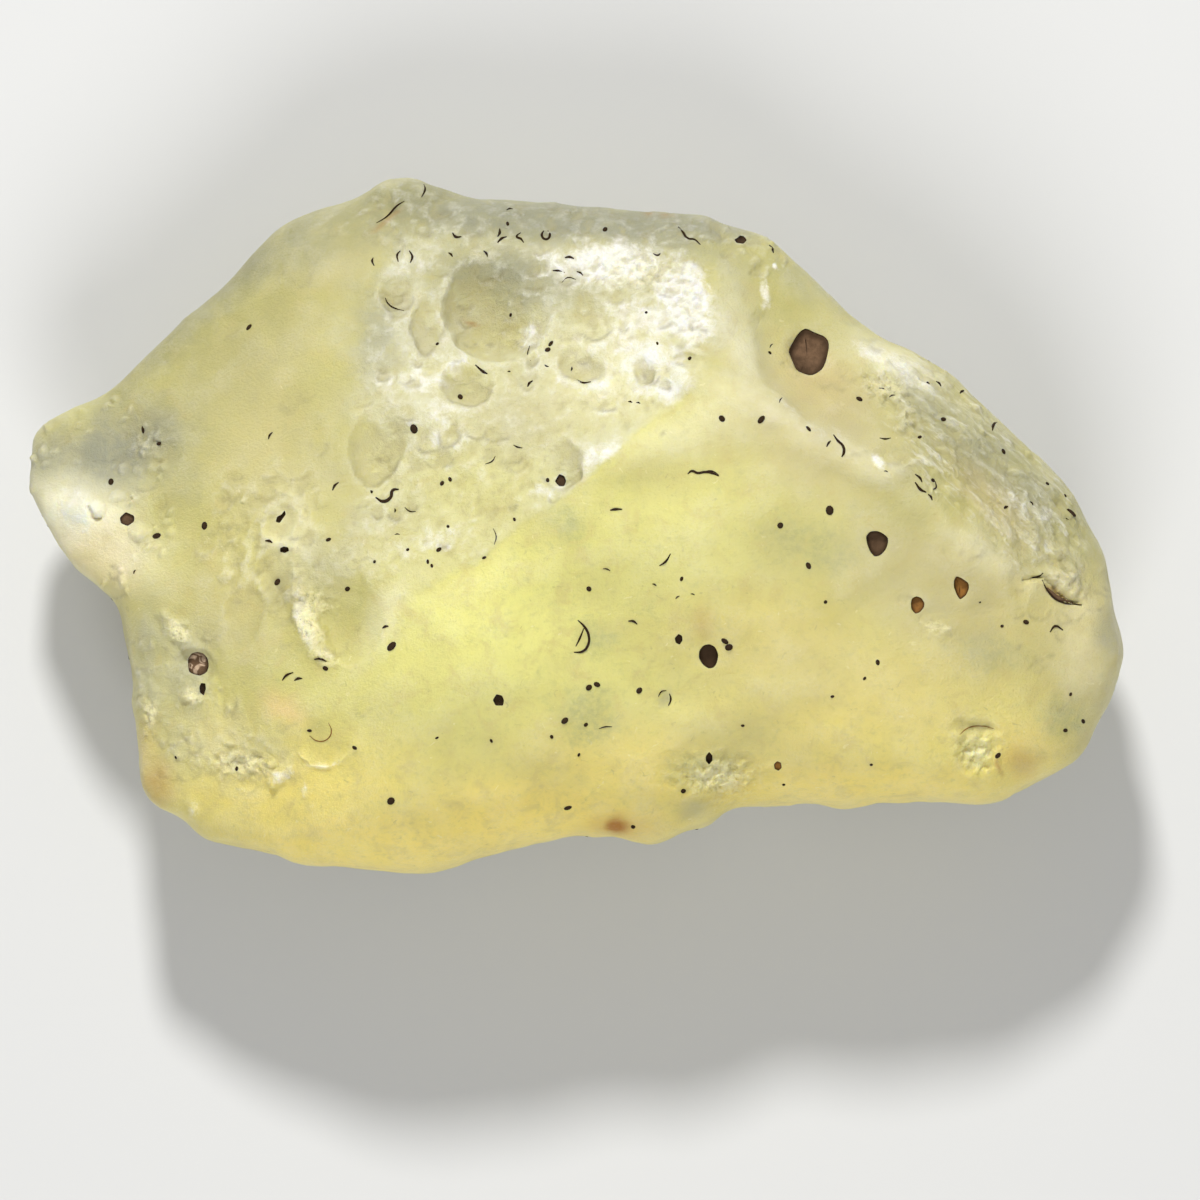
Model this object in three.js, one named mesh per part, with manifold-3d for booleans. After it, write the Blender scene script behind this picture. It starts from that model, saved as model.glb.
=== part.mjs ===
// A raw piece of Libyan desert glass: one wind-worn lump of pale yellow natural glass.
// It lies on its flatter side. The broad side that faces up is several worn facets that meet in soft
// ridges, and one of them is scooped out.
// Lengths are in millimetres. +X is along the lump, +Y is across it towards its crest, and +Z is up.

import * as THREE from "three";
import { mergeVertices } from "three/addons/utils/BufferGeometryUtils.js";
import Module from "manifold-3d";

const wasm = await Module();
wasm.setup();

// Driving dimensions
const GIRTH_HEIGHT = 7.2; // how high the lump's widest girth is above the surface that the lump lies on
const UPPER_FULLNESS = 0.5; // 1 gives a section like an ellipse, and less gives tighter edges
const LOWER_FULLNESS = 0.6;
const UPPER_RIDGE_EASE = 0.35; // how far the ridges between facets are rounded
const LOWER_RIDGE_EASE = 0.8;
const SCOOP_RIM_EASE = 0.22; // how far the rims of scoops are rounded
const MIDDLE = [0.5, -0.5]; // the point that the outline's reach is measured from
const OUTLINE_SMOOTHING = 0.5; // radians over which the outline's small bends are smoothed further in
const EDGE_HOLD = 8; // the higher, the nearer to the edge the outline's small bends stay
const SPAN = [27.4, 17.5]; // half the length and half the width
const BODY_DETAIL = 18; // how finely the body's triangles are split
const UPPER_SHARE = 0.62; // the part of the body's triangles that the upper side has
const GIRTH_CROWDING = 1.3; // above 1 there are more triangles near the girth
const SCALLOP_DETAIL = 2;
const PIT_DETAIL = 1;

// The outline seen from above, clockwise from the left knob, with a straight run between two points
const OUTLINE = [
  // left knob
  [-27.35, 2.0], [-27.1, 3.6], [-27.2, 4.3], [-26.9, 4.9], [-26.05, 5.65], [-23.7, 6.6], [-22.7, 7.4],
  // upper left slope
  [-15.05, 14.7], [-13.9, 15.4], [-10.2, 16.9],
  // crest and top edge
  [-9.55, 17.3], [-8.2, 17.4], [-4.85, 16.4], [6.35, 15.55], [9.8, 14.3],
  // right shoulder
  [11.35, 12.9], [13.4, 10.7], [15.2, 9.5], [17.2, 8.5], [18.75, 7.5], [23.7, 3.0], [24.95, 1.5],
  // right nose
  [26.5, -1.5], [27.4, -6.3], [26.85, -8.45], [25.05, -11.9],
  // right foot
  [21.15, -14.0], [15.9, -13.8], [13.55, -14.2], [11.15, -13.9], [8.45, -14.1], [7.55, -14.3],
  // notch and toe
  [6.8, -15.0], [6.25, -15.2], [5.6, -15.2], [4.35, -15.9], [3.65, -16.0], [2.0, -15.6], [0.15, -15.5],
  // left foot
  [-2.1, -15.9], [-7.35, -17.45], [-13.3, -17.0], [-18.35, -15.9], [-19.1, -15.3], [-19.65, -14.6],
  // left heel and wall
  [-20.95, -14.1], [-21.45, -13.5], [-21.85, -12.45], [-22.15, -9.4], [-22.15, -7.6], [-22.75, -4.5],
  [-23.05, -3.8], [-25.6, -1.7], [-26.95, 0.9],
];

// Facets: each passes through a point at a height, and falls away from the middle towards an angle
const UPPER_FACETS = [
  { through: [2, 1.5], height: 17.7, towards: 280, slope: 0.12 }, // smooth broad face
  { through: [-2, 0.5], height: 17.6, towards: 140, slope: 0.26 }, // scooped face
  { through: [-11.4, 5], height: 15.3, towards: 158, slope: 0.36 }, // olive slope on the left
  { through: [9.8, 8.4], height: 18.0, towards: 42, slope: 0.48 }, // slope below the shoulder
  { through: [17.5, 2.3], height: 17.1, towards: 58, slope: 0.55 }, // rippled slope above the nose
  { through: [20.5, -7], height: 16.0, towards: 340, slope: 0.28 }, // nose
  { through: [-17, -8], height: 14.4, towards: 205, slope: 0.4 }, // left wall
  { through: [-2, -13.5], height: 16.4, towards: 265, slope: 0.5 }, // long foot
];
const LOWER_FACETS = [
  { through: [0, -1], height: -0.8, towards: 0, slope: 0.0 }, // underside
  { through: [-13, 1], height: 0.0, towards: 170, slope: 0.18 },
  { through: [-5, 8], height: 0.0, towards: 100, slope: 0.3 },
  { through: [12, 5], height: 0.1, towards: 40, slope: 0.34 },
  { through: [15, -5], height: 0.1, towards: 335, slope: 0.22 },
  { through: [-8, -9], height: 0.0, towards: 255, slope: 0.34 },
];

// Long low swells that wind leaves on every side, and the rise and fall of the girth
const SWELLS = [
  { high: 0.14, x: 0.42, y: 0.55, start: 0.6 },
  { high: 0.1, x: 0.83, y: -0.61, start: 2.1 },
  { high: 0.07, x: -0.37, y: 1.31, start: 4.0 },
];
const GIRTH_WAVES = [
  { high: 0.9, count: 2, start: 0.8 },
  { high: 0.4, count: 5, start: 2.0 },
];

// Soft dips, and swellings where deep is negative
const UPPER_DIPS = [
  { at: [-18.2, -7.0], half: [2.6, 4.4], turn: 20, deep: 0.8 }, // dent beside the left wall
  { at: [-14.5, -11.6], half: [3.4, 1.8], turn: -8, deep: 0.4 },
  { at: [-24.3, 0.6], half: [2.4, 2.4], turn: 0, deep: -0.9 }, // boss on the knob
  { at: [-16.0, -2.0], half: [2.6, 4.0], turn: -15, deep: 0.5 },
  { at: [19.5, -4.2], half: [5.0, 3.0], turn: -25, deep: 0.6 }, // shallow dish behind the nose
  { at: [7.5, -11.8], half: [4.4, 2.2], turn: 8, deep: 0.5 },
  { at: [6.0, -2.0], half: [10.0, 6.0], turn: 14, deep: -0.35 },
  { at: [-6.0, -10.0], half: [8.0, 4.0], turn: -6, deep: -0.4 },
  { at: [-14.2, 9.0], half: [2.5, 5.0], turn: -38, deep: -0.4 },
  { at: [-9.4, 16.0], half: [1.6, 1.0], turn: 35, deep: 0.5 }, // crease at the crest
];
const LOWER_DIPS = [
  { at: [-16, -5], half: [6, 5], turn: 15, deep: 1.0 },
  { at: [15, 5], half: [6.5, 4], turn: -35, deep: 0.9 },
  { at: [17, -8.5], half: [5, 3.6], turn: 10, deep: 0.8 },
  { at: [-8, 12.5], half: [5.5, 3.2], turn: 8, deep: 0.8 },
];

// Scoops with a rim that shows
const UPPER_SCOOPS = [
  { at: [-1.6, 9.4], half: [9.4, 6.3], turn: 6, deep: 1.45 }, // the wide bowl
  { at: [-8.7, 2.0], half: [4.0, 4.6], turn: -30, deep: 0.8 },
  { at: [-2.7, 3.4], half: [5.6, 3.0], turn: 38, deep: 0.85 },
  { at: [-11.6, -4.7], half: [2.5, 2.4], turn: 20, deep: 0.75 },
  { at: [11.2, 8.6], half: [5.4, 2.4], turn: -50, deep: 1.15 }, // trough with the big pit
  { at: [-22.7, 3.9], half: [2.9, 2.0], turn: 15, deep: 0.9 },
  { at: [20.0, -11.3], half: [1.35, 1.35], turn: 0, deep: 0.35 },
  { at: [23.9, -3.2], half: [1.6, 0.8], turn: -32, deep: 0.4 },
  { at: [15.0, 6.3], half: [1.9, 1.1], turn: -25, deep: 0.45 },
  { at: [-18.6, -7.0], half: [1.2, 1.6], turn: 10, deep: 0.45 },
  { at: [-16.4, -12.2], half: [1.9, 0.9], turn: -5, deep: 0.35 },
];
const UPPER_INNER_SCOOPS = [
  { at: [-4.6, 10.5], half: [2.1, 2.6], turn: -6, deep: 1.15 }, // the deepest hollow
  { at: [-7.5, 10.1], half: [0.9, 1.5], turn: -4, deep: 0.5 },
  { at: [-5.3, 7.0], half: [1.5, 1.15], turn: 0, deep: 0.55 },
  { at: [-9.8, 3.7], half: [1.5, 1.6], turn: 0, deep: 0.4 },
  { at: [-0.6, 3.0], half: [1.05, 1.25], turn: -15, deep: 0.4 },
  { at: [0.4, 8.1], half: [1.25, 1.0], turn: -12, deep: 0.4 },
];
const LOWER_SCOOPS = [
  { at: [-17.5, -4.0], half: [3.0, 2.1], turn: 25, deep: 0.55 },
  { at: [-13.8, -9.3], half: [2.0, 1.5], turn: 0, deep: 0.45 },
  { at: [17.2, 4.6], half: [2.6, 1.8], turn: -40, deep: 0.55 },
  { at: [20.5, -4.5], half: [2.1, 1.6], turn: 15, deep: 0.45 },
  { at: [-4.0, 13.0], half: [2.6, 1.5], turn: 5, deep: 0.5 },
  { at: [9.5, -11.0], half: [2.2, 1.4], turn: 10, deep: 0.45 },
];

// Small scallops cut by a ball each, and open pits, by the half sizes of their mouths
const UPPER_SCALLOPS = [
  { at: [3.3, 7.7], half: [0.6, 0.9], turn: 8, deep: 0.3 },
  { at: [-8.9, 11.7], half: [0.85, 1.0], turn: 0, deep: 0.28 },
  { at: [-9.5, 7.9], half: [0.5, 0.7], turn: 0, deep: 0.22 },
  { at: [5.9, 10.6], half: [0.6, 1.0], turn: -20, deep: 0.25 },
  { at: [9.5, 11.6], half: [0.4, 0.9], turn: -10, deep: 0.22 },
  { at: [-12.7, -10.2], half: [0.6, 0.6], turn: 0, deep: 0.18 },
  { at: [9.9, 3.6], half: [0.7, 0.6], turn: 0, deep: 0.2 },
];
const UPPER_PITS = [
  { at: [11.55, 8.65], half: [1.0, 1.15], turn: 10, deep: 0.9 }, // the big angular pit
  { at: [14.95, -0.9], half: [0.52, 0.65], turn: 15, deep: 0.6 },
  { at: [19.1, -3.1], half: [0.42, 0.6], turn: -10, deep: 0.5 },
  { at: [17.0, -4.0], half: [0.38, 0.45], turn: 0, deep: 0.4 },
  { at: [6.6, -6.5], half: [0.5, 0.62], turn: 0, deep: 0.5 },
  { at: [-18.85, -6.8], half: [0.55, 0.6], turn: 0, deep: 0.5 },
  { at: [-0.8, 2.2], half: [0.35, 0.35], turn: 0, deep: 0.4 },
  { at: [-3.85, -8.65], half: [0.32, 0.32], turn: 0, deep: 0.4 },
  { at: [6.65, -11.55], half: [0.25, 0.35], turn: 0, deep: 0.35 },
  { at: [-22.4, 0.3], half: [0.38, 0.38], turn: 20, deep: 0.4 },
  { at: [-18.6, -8.2], half: [0.25, 0.4], turn: -10, deep: 0.35 },
  { at: [-14.7, 0.4], half: [0.35, 0.4], turn: -35, deep: 0.35 },
  { at: [8.2, 14.2], half: [0.4, 0.35], turn: 0, deep: 0.3 },
];
const LOWER_PITS = [
  { at: [-16.5, 3.0], half: [0.7, 0.6], turn: 20, deep: 0.5 },
  { at: [17.5, -2.5], half: [0.6, 0.5], turn: 0, deep: 0.45 },
  { at: [-7.0, -12.5], half: [0.5, 0.5], turn: 0, deep: 0.45 },
  { at: [21.5, 1.0], half: [0.45, 0.55], turn: 0, deep: 0.4 },
  { at: [3.0, 12.8], half: [0.4, 0.5], turn: 0, deep: 0.4 },
];

// How far the outline reaches from MIDDLE, looked up by angle
const OUTLINE_STEPS = 1440;
const FULL_TURN = 2 * Math.PI;
const reachTable = new THREE.Shape(OUTLINE.map(([x, y]) => new THREE.Vector2(x, y)))
  .getSpacedPoints(OUTLINE_STEPS)
  .slice(0, OUTLINE_STEPS)
  .map((p) => ({
    angle: Math.atan2(p.y - MIDDLE[1], p.x - MIDDLE[0]),
    reach: Math.hypot(p.x - MIDDLE[0], p.y - MIDDLE[1]),
  }))
  .sort((a, b) => a.angle - b.angle);
const firstRow = reachTable[0];
const lastRow = reachTable[reachTable.length - 1];
reachTable.unshift({ angle: lastRow.angle - FULL_TURN, reach: lastRow.reach });
reachTable.push({ angle: firstRow.angle + FULL_TURN, reach: firstRow.reach });

function outlineReach(angle) {
  const after = reachTable.findIndex((row) => row.angle >= angle);
  const [from, to] = [reachTable[after - 1], reachTable[after]];
  return THREE.MathUtils.mapLinear(angle, from.angle, to.angle, from.reach, to.reach);
}

// The same with its small bends smoothed
const SMOOTHING_STEPS = 8;
function smoothReach(angle) {
  let sum = 0;
  for (let step = 0; step <= SMOOTHING_STEPS; step++) {
    const turned = angle + OUTLINE_SMOOTHING * (step / SMOOTHING_STEPS - 0.5);
    sum += outlineReach(THREE.MathUtils.euclideanModulo(turned + Math.PI, FULL_TURN) - Math.PI);
  }
  return sum / (SMOOTHING_STEPS + 1);
}

// The lower of two heights, with the corner between them rounded
function softMin(a, b, ease) {
  const overlap = Math.max(ease - Math.abs(a - b), 0) / ease;
  return Math.min(a, b) - (overlap * overlap * ease) / 4;
}

// Where a point lies in an oval, as the square of its distance from the centre: 1 is the rim
function ovalSquare([x, y], { at, half, turn }) {
  const way = THREE.MathUtils.degToRad(turn);
  const [dx, dy] = [x - at[0], y - at[1]];
  const along = (dx * Math.cos(way) + dy * Math.sin(way)) / half[0];
  const across = (dy * Math.cos(way) - dx * Math.sin(way)) / half[1];
  return along * along + across * across;
}

function facetHeight([x, y], { through, height, towards, slope }) {
  const way = THREE.MathUtils.degToRad(towards);
  return height - slope * ((x - through[0]) * Math.cos(way) + (y - through[1]) * Math.sin(way));
}

function dipDepth(plan, dips) {
  return dips.reduce((sum, dip) => sum + dip.deep * Math.max(0, 1 - ovalSquare(plan, dip)) ** 2, 0);
}

function scoopDepth(plan, scoops) {
  const level = scoops.reduce((low, scoop) => {
    const bowl = -scoop.deep * (1 - ovalSquare(plan, scoop));
    return softMin(low, bowl, SCOOP_RIM_EASE);
  }, 0);
  return -level;
}

function swell([x, y]) {
  return SWELLS.reduce((sum, wave) => sum + wave.high * Math.sin(wave.x * x + wave.y * y + wave.start), 0);
}

function girthHeight(angle) {
  return GIRTH_WAVES.reduce(
    (height, wave) => height + wave.high * Math.sin(wave.count * angle + wave.start),
    GIRTH_HEIGHT,
  );
}

function upperFull(plan) {
  const heights = UPPER_FACETS.map((facet) => facetHeight(plan, facet));
  const worn = heights.reduce((a, b) => softMin(a, b, UPPER_RIDGE_EASE));
  return worn + swell(plan) - dipDepth(plan, UPPER_DIPS);
}

function lowerFull(plan) {
  const sunk = LOWER_FACETS.map((facet) => -facetHeight(plan, { ...facet, slope: -facet.slope }));
  const worn = -sunk.reduce((a, b) => softMin(a, b, LOWER_RIDGE_EASE));
  return worn + swell([plan[1], plan[0]]) + dipDepth(plan, LOWER_DIPS);
}

// The height of the upper or the lower side over a point of the plan
function sideHeight(plan, upper) {
  const [dx, dy] = [plan[0] - MIDDLE[0], plan[1] - MIDDLE[1]];
  const angle = Math.atan2(dy, dx);
  const distance = Math.hypot(dx, dy);
  const share = Math.min(1, distance / outlineReach(angle));
  const inward = Math.min(1, distance / smoothReach(angle));
  const spread = THREE.MathUtils.lerp(inward * inward, share * share, share ** EDGE_HOLD);
  const fullness = upper ? UPPER_FULLNESS : LOWER_FULLNESS;
  const round = Math.max(0, 1 - spread) ** (fullness / 2);
  const girth = girthHeight(angle);
  const full = upper ? upperFull(plan) : lowerFull(plan);
  const smooth = girth + (full - girth) * round;
  if (!upper) return smooth + scoopDepth(plan, LOWER_SCOOPS) * round;
  const scooped = scoopDepth(plan, UPPER_SCOOPS) + scoopDepth(plan, UPPER_INNER_SCOOPS);
  return smooth - scooped * round;
}

// The lump before pits are cut in it: a ball of even triangles, spread over the plan and set to height
function wornBody() {
  const ball = new THREE.IcosahedronGeometry(1, BODY_DETAIL);
  const place = ball.getAttribute("position");
  const parting = 1 - 2 * UPPER_SHARE;
  for (let i = 0; i < place.count; i++) {
    const way = new THREE.Vector3().fromBufferAttribute(place, i).normalize();
    const upper = way.z >= parting;
    const rise = upper ? (way.z - parting) / (1 - parting) : (parting - way.z) / (1 + parting);
    const lift = Math.min(1, rise) ** GIRTH_CROWDING;
    const angle = Math.atan2(way.y * SPAN[1], way.x * SPAN[0]);
    const reach = Math.sqrt(1 - lift * lift) * outlineReach(angle);
    const plan = [MIDDLE[0] + reach * Math.cos(angle), MIDDLE[1] + reach * Math.sin(angle)];
    place.setXYZ(i, plan[0], plan[1], sideHeight(plan, upper));
  }
  return ball;
}

// A closed geometry as a solid that can be joined and cut
const SAME_POINT = 1e-4;
function solidOf(geometry) {
  const bare = geometry.clone();
  bare.deleteAttribute("normal");
  bare.deleteAttribute("uv");
  const merged = mergeVertices(bare, SAME_POINT);
  return new wasm.Manifold(
    new wasm.Mesh({
      numProp: 3,
      vertProperties: merged.getAttribute("position").array,
      triVerts: new Uint32Array(merged.index.array),
    }),
  );
}

function geometryOf(solid) {
  const mesh = solid.getMesh();
  const places = new Float32Array(mesh.numVert * 3);
  for (let i = 0; i < mesh.numVert; i++) {
    places.set(mesh.vertProperties.subarray(i * mesh.numProp, i * mesh.numProp + 3), i * 3);
  }
  const geometry = new THREE.BufferGeometry();
  geometry.setAttribute("position", new THREE.BufferAttribute(places, 3));
  geometry.setIndex(new THREE.BufferAttribute(mesh.triVerts, 1));
  return geometry;
}

// The point of a side over the plan, and the way that the side faces there
const SLOPE_STEP = 0.3;
function footing(plan, upper) {
  const [x, y] = plan;
  const slopeX = sideHeight([x + SLOPE_STEP, y], upper) - sideHeight([x - SLOPE_STEP, y], upper);
  const slopeY = sideHeight([x, y + SLOPE_STEP], upper) - sideHeight([x, y - SLOPE_STEP], upper);
  const facing = new THREE.Vector3(-slopeX, -slopeY, 2 * SLOPE_STEP).normalize();
  if (!upper) facing.negate();
  return { point: new THREE.Vector3(x, y, sideHeight(plan, upper)), facing };
}

// An egg-shaped cutter that leaves a dip with the given mouth and depth
const EGG_HEIGHT_PER_DEPTH = 1.6;
function cutter({ at, half, turn, deep }, upper, detail) {
  const tall = deep * EGG_HEIGHT_PER_DEPTH;
  const mouth = Math.sqrt(1 - ((tall - deep) / tall) ** 2);
  const egg = new THREE.IcosahedronGeometry(1, detail);
  egg.scale(half[0] / mouth, half[1] / mouth, tall);
  egg.rotateZ(THREE.MathUtils.degToRad(turn));
  const { point, facing } = footing(at, upper);
  egg.applyQuaternion(new THREE.Quaternion().setFromUnitVectors(new THREE.Vector3(0, 0, 1), facing));
  const centre = point.addScaledVector(facing, tall - deep);
  egg.translate(centre.x, centre.y, centre.z);
  return solidOf(egg);
}

const cuts = [
  ...UPPER_SCALLOPS.map((scallop) => cutter(scallop, true, SCALLOP_DETAIL)),
  ...UPPER_PITS.map((pit) => cutter(pit, true, PIT_DETAIL)),
  ...LOWER_PITS.map((pit) => cutter(pit, false, PIT_DETAIL)),
];

// Everything below height 0 is worn flat, and the lump rests there
const UNDERFOOT = { long: 4 * SPAN[0], wide: 4 * SPAN[1], deep: 20 };
const underfoot = new THREE.BoxGeometry(UNDERFOOT.long, UNDERFOOT.wide, UNDERFOOT.deep);
underfoot.translate(0, 0, -UNDERFOOT.deep / 2);
const pitted = cuts.reduce((body, cut) => body.subtract(cut), solidOf(wornBody()));
const lump = pitted.subtract(solidOf(underfoot));

const glass = new THREE.MeshStandardMaterial({ color: 0xddd68c, roughness: 0.45, metalness: 0 });
const stone = new THREE.Mesh(geometryOf(lump), glass);
stone.name = "desert_glass";

const part = new THREE.Group();
part.add(stone);

export default part;
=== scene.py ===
# %% [markdown]
# # Raw desert glass
# This is a lump of natural glass from the Libyan desert, about 55 mm long, worn by wind and sand.
# It is one piece of milky yellow glass. Its broad side has a frosted, scooped face, smooth faces and soft
# ridges. Brown clay is stuck in its open pits, and dark dirt in its fine cracks.
#
# The frame holds the lump as a faceted solid of its true size. The lesson turns a copy of that solid into a
# fine surface, wears scoops and pits into it, fills the pits with clay, and gives both their finish.

# %% Load the frame
import math
import random

import bpy
import numpy as np
from mathutils import Matrix, Vector, noise
from mathutils.bvhtree import BVHTree


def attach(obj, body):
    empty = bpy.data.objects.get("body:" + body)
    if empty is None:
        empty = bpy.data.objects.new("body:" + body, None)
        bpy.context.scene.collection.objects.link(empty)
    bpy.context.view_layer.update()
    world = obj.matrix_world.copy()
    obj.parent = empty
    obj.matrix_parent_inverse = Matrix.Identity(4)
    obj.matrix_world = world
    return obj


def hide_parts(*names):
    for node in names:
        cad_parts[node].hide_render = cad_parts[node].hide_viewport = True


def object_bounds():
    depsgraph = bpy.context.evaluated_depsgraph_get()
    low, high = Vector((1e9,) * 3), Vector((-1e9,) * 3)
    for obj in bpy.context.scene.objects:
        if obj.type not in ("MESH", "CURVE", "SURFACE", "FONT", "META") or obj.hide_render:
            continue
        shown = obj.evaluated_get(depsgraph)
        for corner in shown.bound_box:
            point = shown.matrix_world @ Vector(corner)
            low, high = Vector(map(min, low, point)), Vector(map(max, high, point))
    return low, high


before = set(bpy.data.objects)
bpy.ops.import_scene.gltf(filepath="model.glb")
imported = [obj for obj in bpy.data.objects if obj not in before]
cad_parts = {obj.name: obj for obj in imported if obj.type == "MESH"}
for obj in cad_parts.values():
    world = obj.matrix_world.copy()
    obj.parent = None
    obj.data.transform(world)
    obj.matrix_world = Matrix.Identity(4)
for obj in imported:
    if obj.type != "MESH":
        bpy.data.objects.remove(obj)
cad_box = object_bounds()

MM = 0.001
GLASS_NODE = "desert_glass"
print("the lump measures", [round((high - low) / MM, 1) for low, high in zip(*cad_box)], "mm")


# %% [markdown]
# ## Helpers for modelling by hand
# An operator acts on all that is selected, so every step starts by selecting one piece and nothing else.


# %% Select one piece, and work on it
def select_only(piece):
    bpy.ops.object.select_all(action="DESELECT")
    piece.select_set(True)
    bpy.context.view_layer.objects.active = piece


def apply_modifier(piece, kind, **settings):
    select_only(piece)
    bpy.ops.object.modifier_add(type=kind)
    modifier = piece.modifiers[-1]
    for name, value in settings.items():
        setattr(modifier, name, value)
    bpy.ops.object.modifier_apply(modifier=modifier.name)


def join(pieces, name):
    select_only(pieces[0])
    for piece in pieces:
        piece.select_set(True)
    bpy.ops.object.join()
    pieces[0].name = name
    return pieces[0]


def triangle_count(piece):
    return sum(len(face.vertices) - 2 for face in piece.data.polygons)


# %% [markdown]
# ## The lump's fine surface
# A real lump has no flat triangles: wind has polished it all over. The solid could be subdivided, but its
# triangles are uneven. A voxel remesh gives an even skin instead, and a few rounds of smoothing take the
# facets off.

# %% Copy the solid and give it an even skin
SKIN_STEP = 0.54 * MM
MERGE_DISTANCE = 0.001 * MM
SMOOTHING, SMOOTH_ROUNDS = 0.6, 4

lump = bpy.data.objects.new("glass_lump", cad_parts[GLASS_NODE].data.copy())
bpy.context.scene.collection.objects.link(lump)
select_only(lump)
bpy.ops.object.mode_set(mode="EDIT")
bpy.ops.mesh.select_all(action="SELECT")
bpy.ops.mesh.remove_doubles(threshold=MERGE_DISTANCE)
bpy.ops.object.mode_set(mode="OBJECT")
apply_modifier(lump, "REMESH", mode="VOXEL", voxel_size=SKIN_STEP)
apply_modifier(lump, "SMOOTH", factor=SMOOTHING, iterations=SMOOTH_ROUNDS)
print("skin:", triangle_count(lump), "triangles")


# %% [markdown]
# ## Places on the lump
# What sits on the upper side is placed in millimetres, as seen from above: x along the lump, y across it.


# %% Read the skin as arrays
def read_skin(piece):
    count = len(piece.data.vertices)
    places = np.empty(count * 3)
    piece.data.vertices.foreach_get("co", places)
    facings = np.empty(count * 3)
    piece.data.vertices.foreach_get("normal", facings)
    return places.reshape(-1, 3) / MM, facings.reshape(-1, 3)


def write_skin(piece, places):
    piece.data.vertices.foreach_set("co", (places * MM).ravel())
    piece.data.update()


def gap_to_edge(plan, start, end):
    """How far points are from a straight edge, in the unit that they are in."""
    edge = end - start
    share = np.clip(((plan - start) @ edge) / (edge @ edge), 0, 1)
    return np.hypot(*(plan - start - share[:, None] * edge).T)


def distance_inside(plan, corners):
    """How far points are inside an outline, in millimetres. It is negative outside."""
    corners = np.array(corners, float)
    nearest = np.full(len(plan), np.inf)
    inside = np.zeros(len(plan), bool)
    for start, end in zip(corners, np.roll(corners, -1, axis=0)):
        nearest = np.minimum(nearest, gap_to_edge(plan, start, end))
        crosses = (start[1] > plan[:, 1]) != (end[1] > plan[:, 1])
        across, up = end - start
        with np.errstate(divide="ignore", invalid="ignore"):
            at_x = start[0] + (plan[:, 1] - start[1]) * across / up
        inside ^= crosses & (plan[:, 0] < at_x)
    return np.where(inside, nearest, -nearest)


def distance_to_line(plan, points):
    """How far points are from a line that runs through others, in millimetres."""
    points = np.array(points, float)
    return np.min([gap_to_edge(plan, start, end) for start, end in zip(points, points[1:])], axis=0)


def soft_step(low, high, value):
    """0 below low, 1 above high, and smooth between."""
    share = np.clip((value - low) / (high - low), 0, 1)
    return share * share * (3 - 2 * share)


def noise_at(points, size, octaves=3):
    """Noise between about -1 and 1, in features of the given size. Both are in millimetres."""
    return np.array([noise.fractal(point, 1.0, 2.0, octaves) for point in points / size])


# %% Outline the zones where the surface is rough
FROSTED_FACE = [
    (-11.9, 1.3), (-11.4, 6.5), (-11.3, 11.3), (-9.8, 16.2), (-3.8, 15.9), (6.2, 15.2), (7.3, 11.9),
    (7.0, 9.0), (6.2, 6.8), (2.8, 4.4), (0.9, 2.5), (-0.4, 1.4), (-2.7, -0.1), (-4.9, -2.0), (-6.9, -2.9),
    (-9.0, -3.5), (-11.2, -3.0), (-13.2, -2.9), (-12.9, -1.6),
]
OLIVE_HOLLOW = [
    (-14.5, -2.2), (-12.6, -2.2), (-10.2, -3.3), (-9.7, -5.2), (-10.8, -7.1), (-13.4, -7.1), (-14.6, -5),
]
DENTED_SLOPE = [
    (-17.5, 2.6), (-13.4, 2.8), (-12.2, 0.6), (-12.6, -2.6), (-14.2, -4.4), (-17.6, -4.4), (-18.6, -1.2),
]
TOP_BAND = [
    (-13.4, 14.2), (-9.5, 17.1), (-8.2, 17.3), (-4.8, 16.3), (6.3, 15.5), (9.7, 14.2), (11.2, 12.8),
    (9.6, 12.4), (6.4, 13.9), (-3.4, 14.2), (-9, 14.2),
]
RIPPLED_SLOPE = [
    (14.0, 7.4), (17.0, 8.8), (19.6, 6.9), (23.0, 3.8), (25.4, 0.9), (25.6, -3.2), (22.4, -2.2),
    (17.5, 1.9),
]
LEFT_WALL = [
    (-21.0, -3.6), (-18.2, -5.2), (-16.8, -8.5), (-14.0, -11.4), (-14.4, -13.4), (-20.5, -12.6),
    (-22.4, -8.0),
]
KNOB = [(-27.6, 2.2), (-27.0, 5.0), (-23.6, 6.9), (-20.4, 5.4), (-20.0, -1.0), (-23.0, -3.6)]
CRACKED_PATCH = [(21.8, -0.8), (26.4, -1.5), (26.6, -5.6), (22.2, -6.4)]
ROUGH_PATCH = [(18.4, -9.9), (21.6, -9.9), (21.6, -12.9), (18.4, -12.9)]
SPECKLED_PATCH = [(4.2, -11.2), (8.8, -11.2), (8.8, -14.2), (4.2, -14.2)]
FINE_ZONES = [
    FROSTED_FACE, OLIVE_HOLLOW, DENTED_SLOPE, TOP_BAND, RIPPLED_SLOPE, LEFT_WALL, KNOB, CRACKED_PATCH,
    ROUGH_PATCH, SPECKLED_PATCH,
]
FINE_MARGIN = 0.3

# %% [markdown]
# ## Open pits
# Old bubbles in the glass are open where the surface has worn down to them. Their mouths are angular ovals.
# Each pit is given by the place of its mouth, the mouth's outline round that place and its depth. The clay
# in it has a sink, which is how far its middle is below the rim, and a tone: 0 is nearly black, 1 is orange,
# and more than 1 is brown with pale layers.

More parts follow.
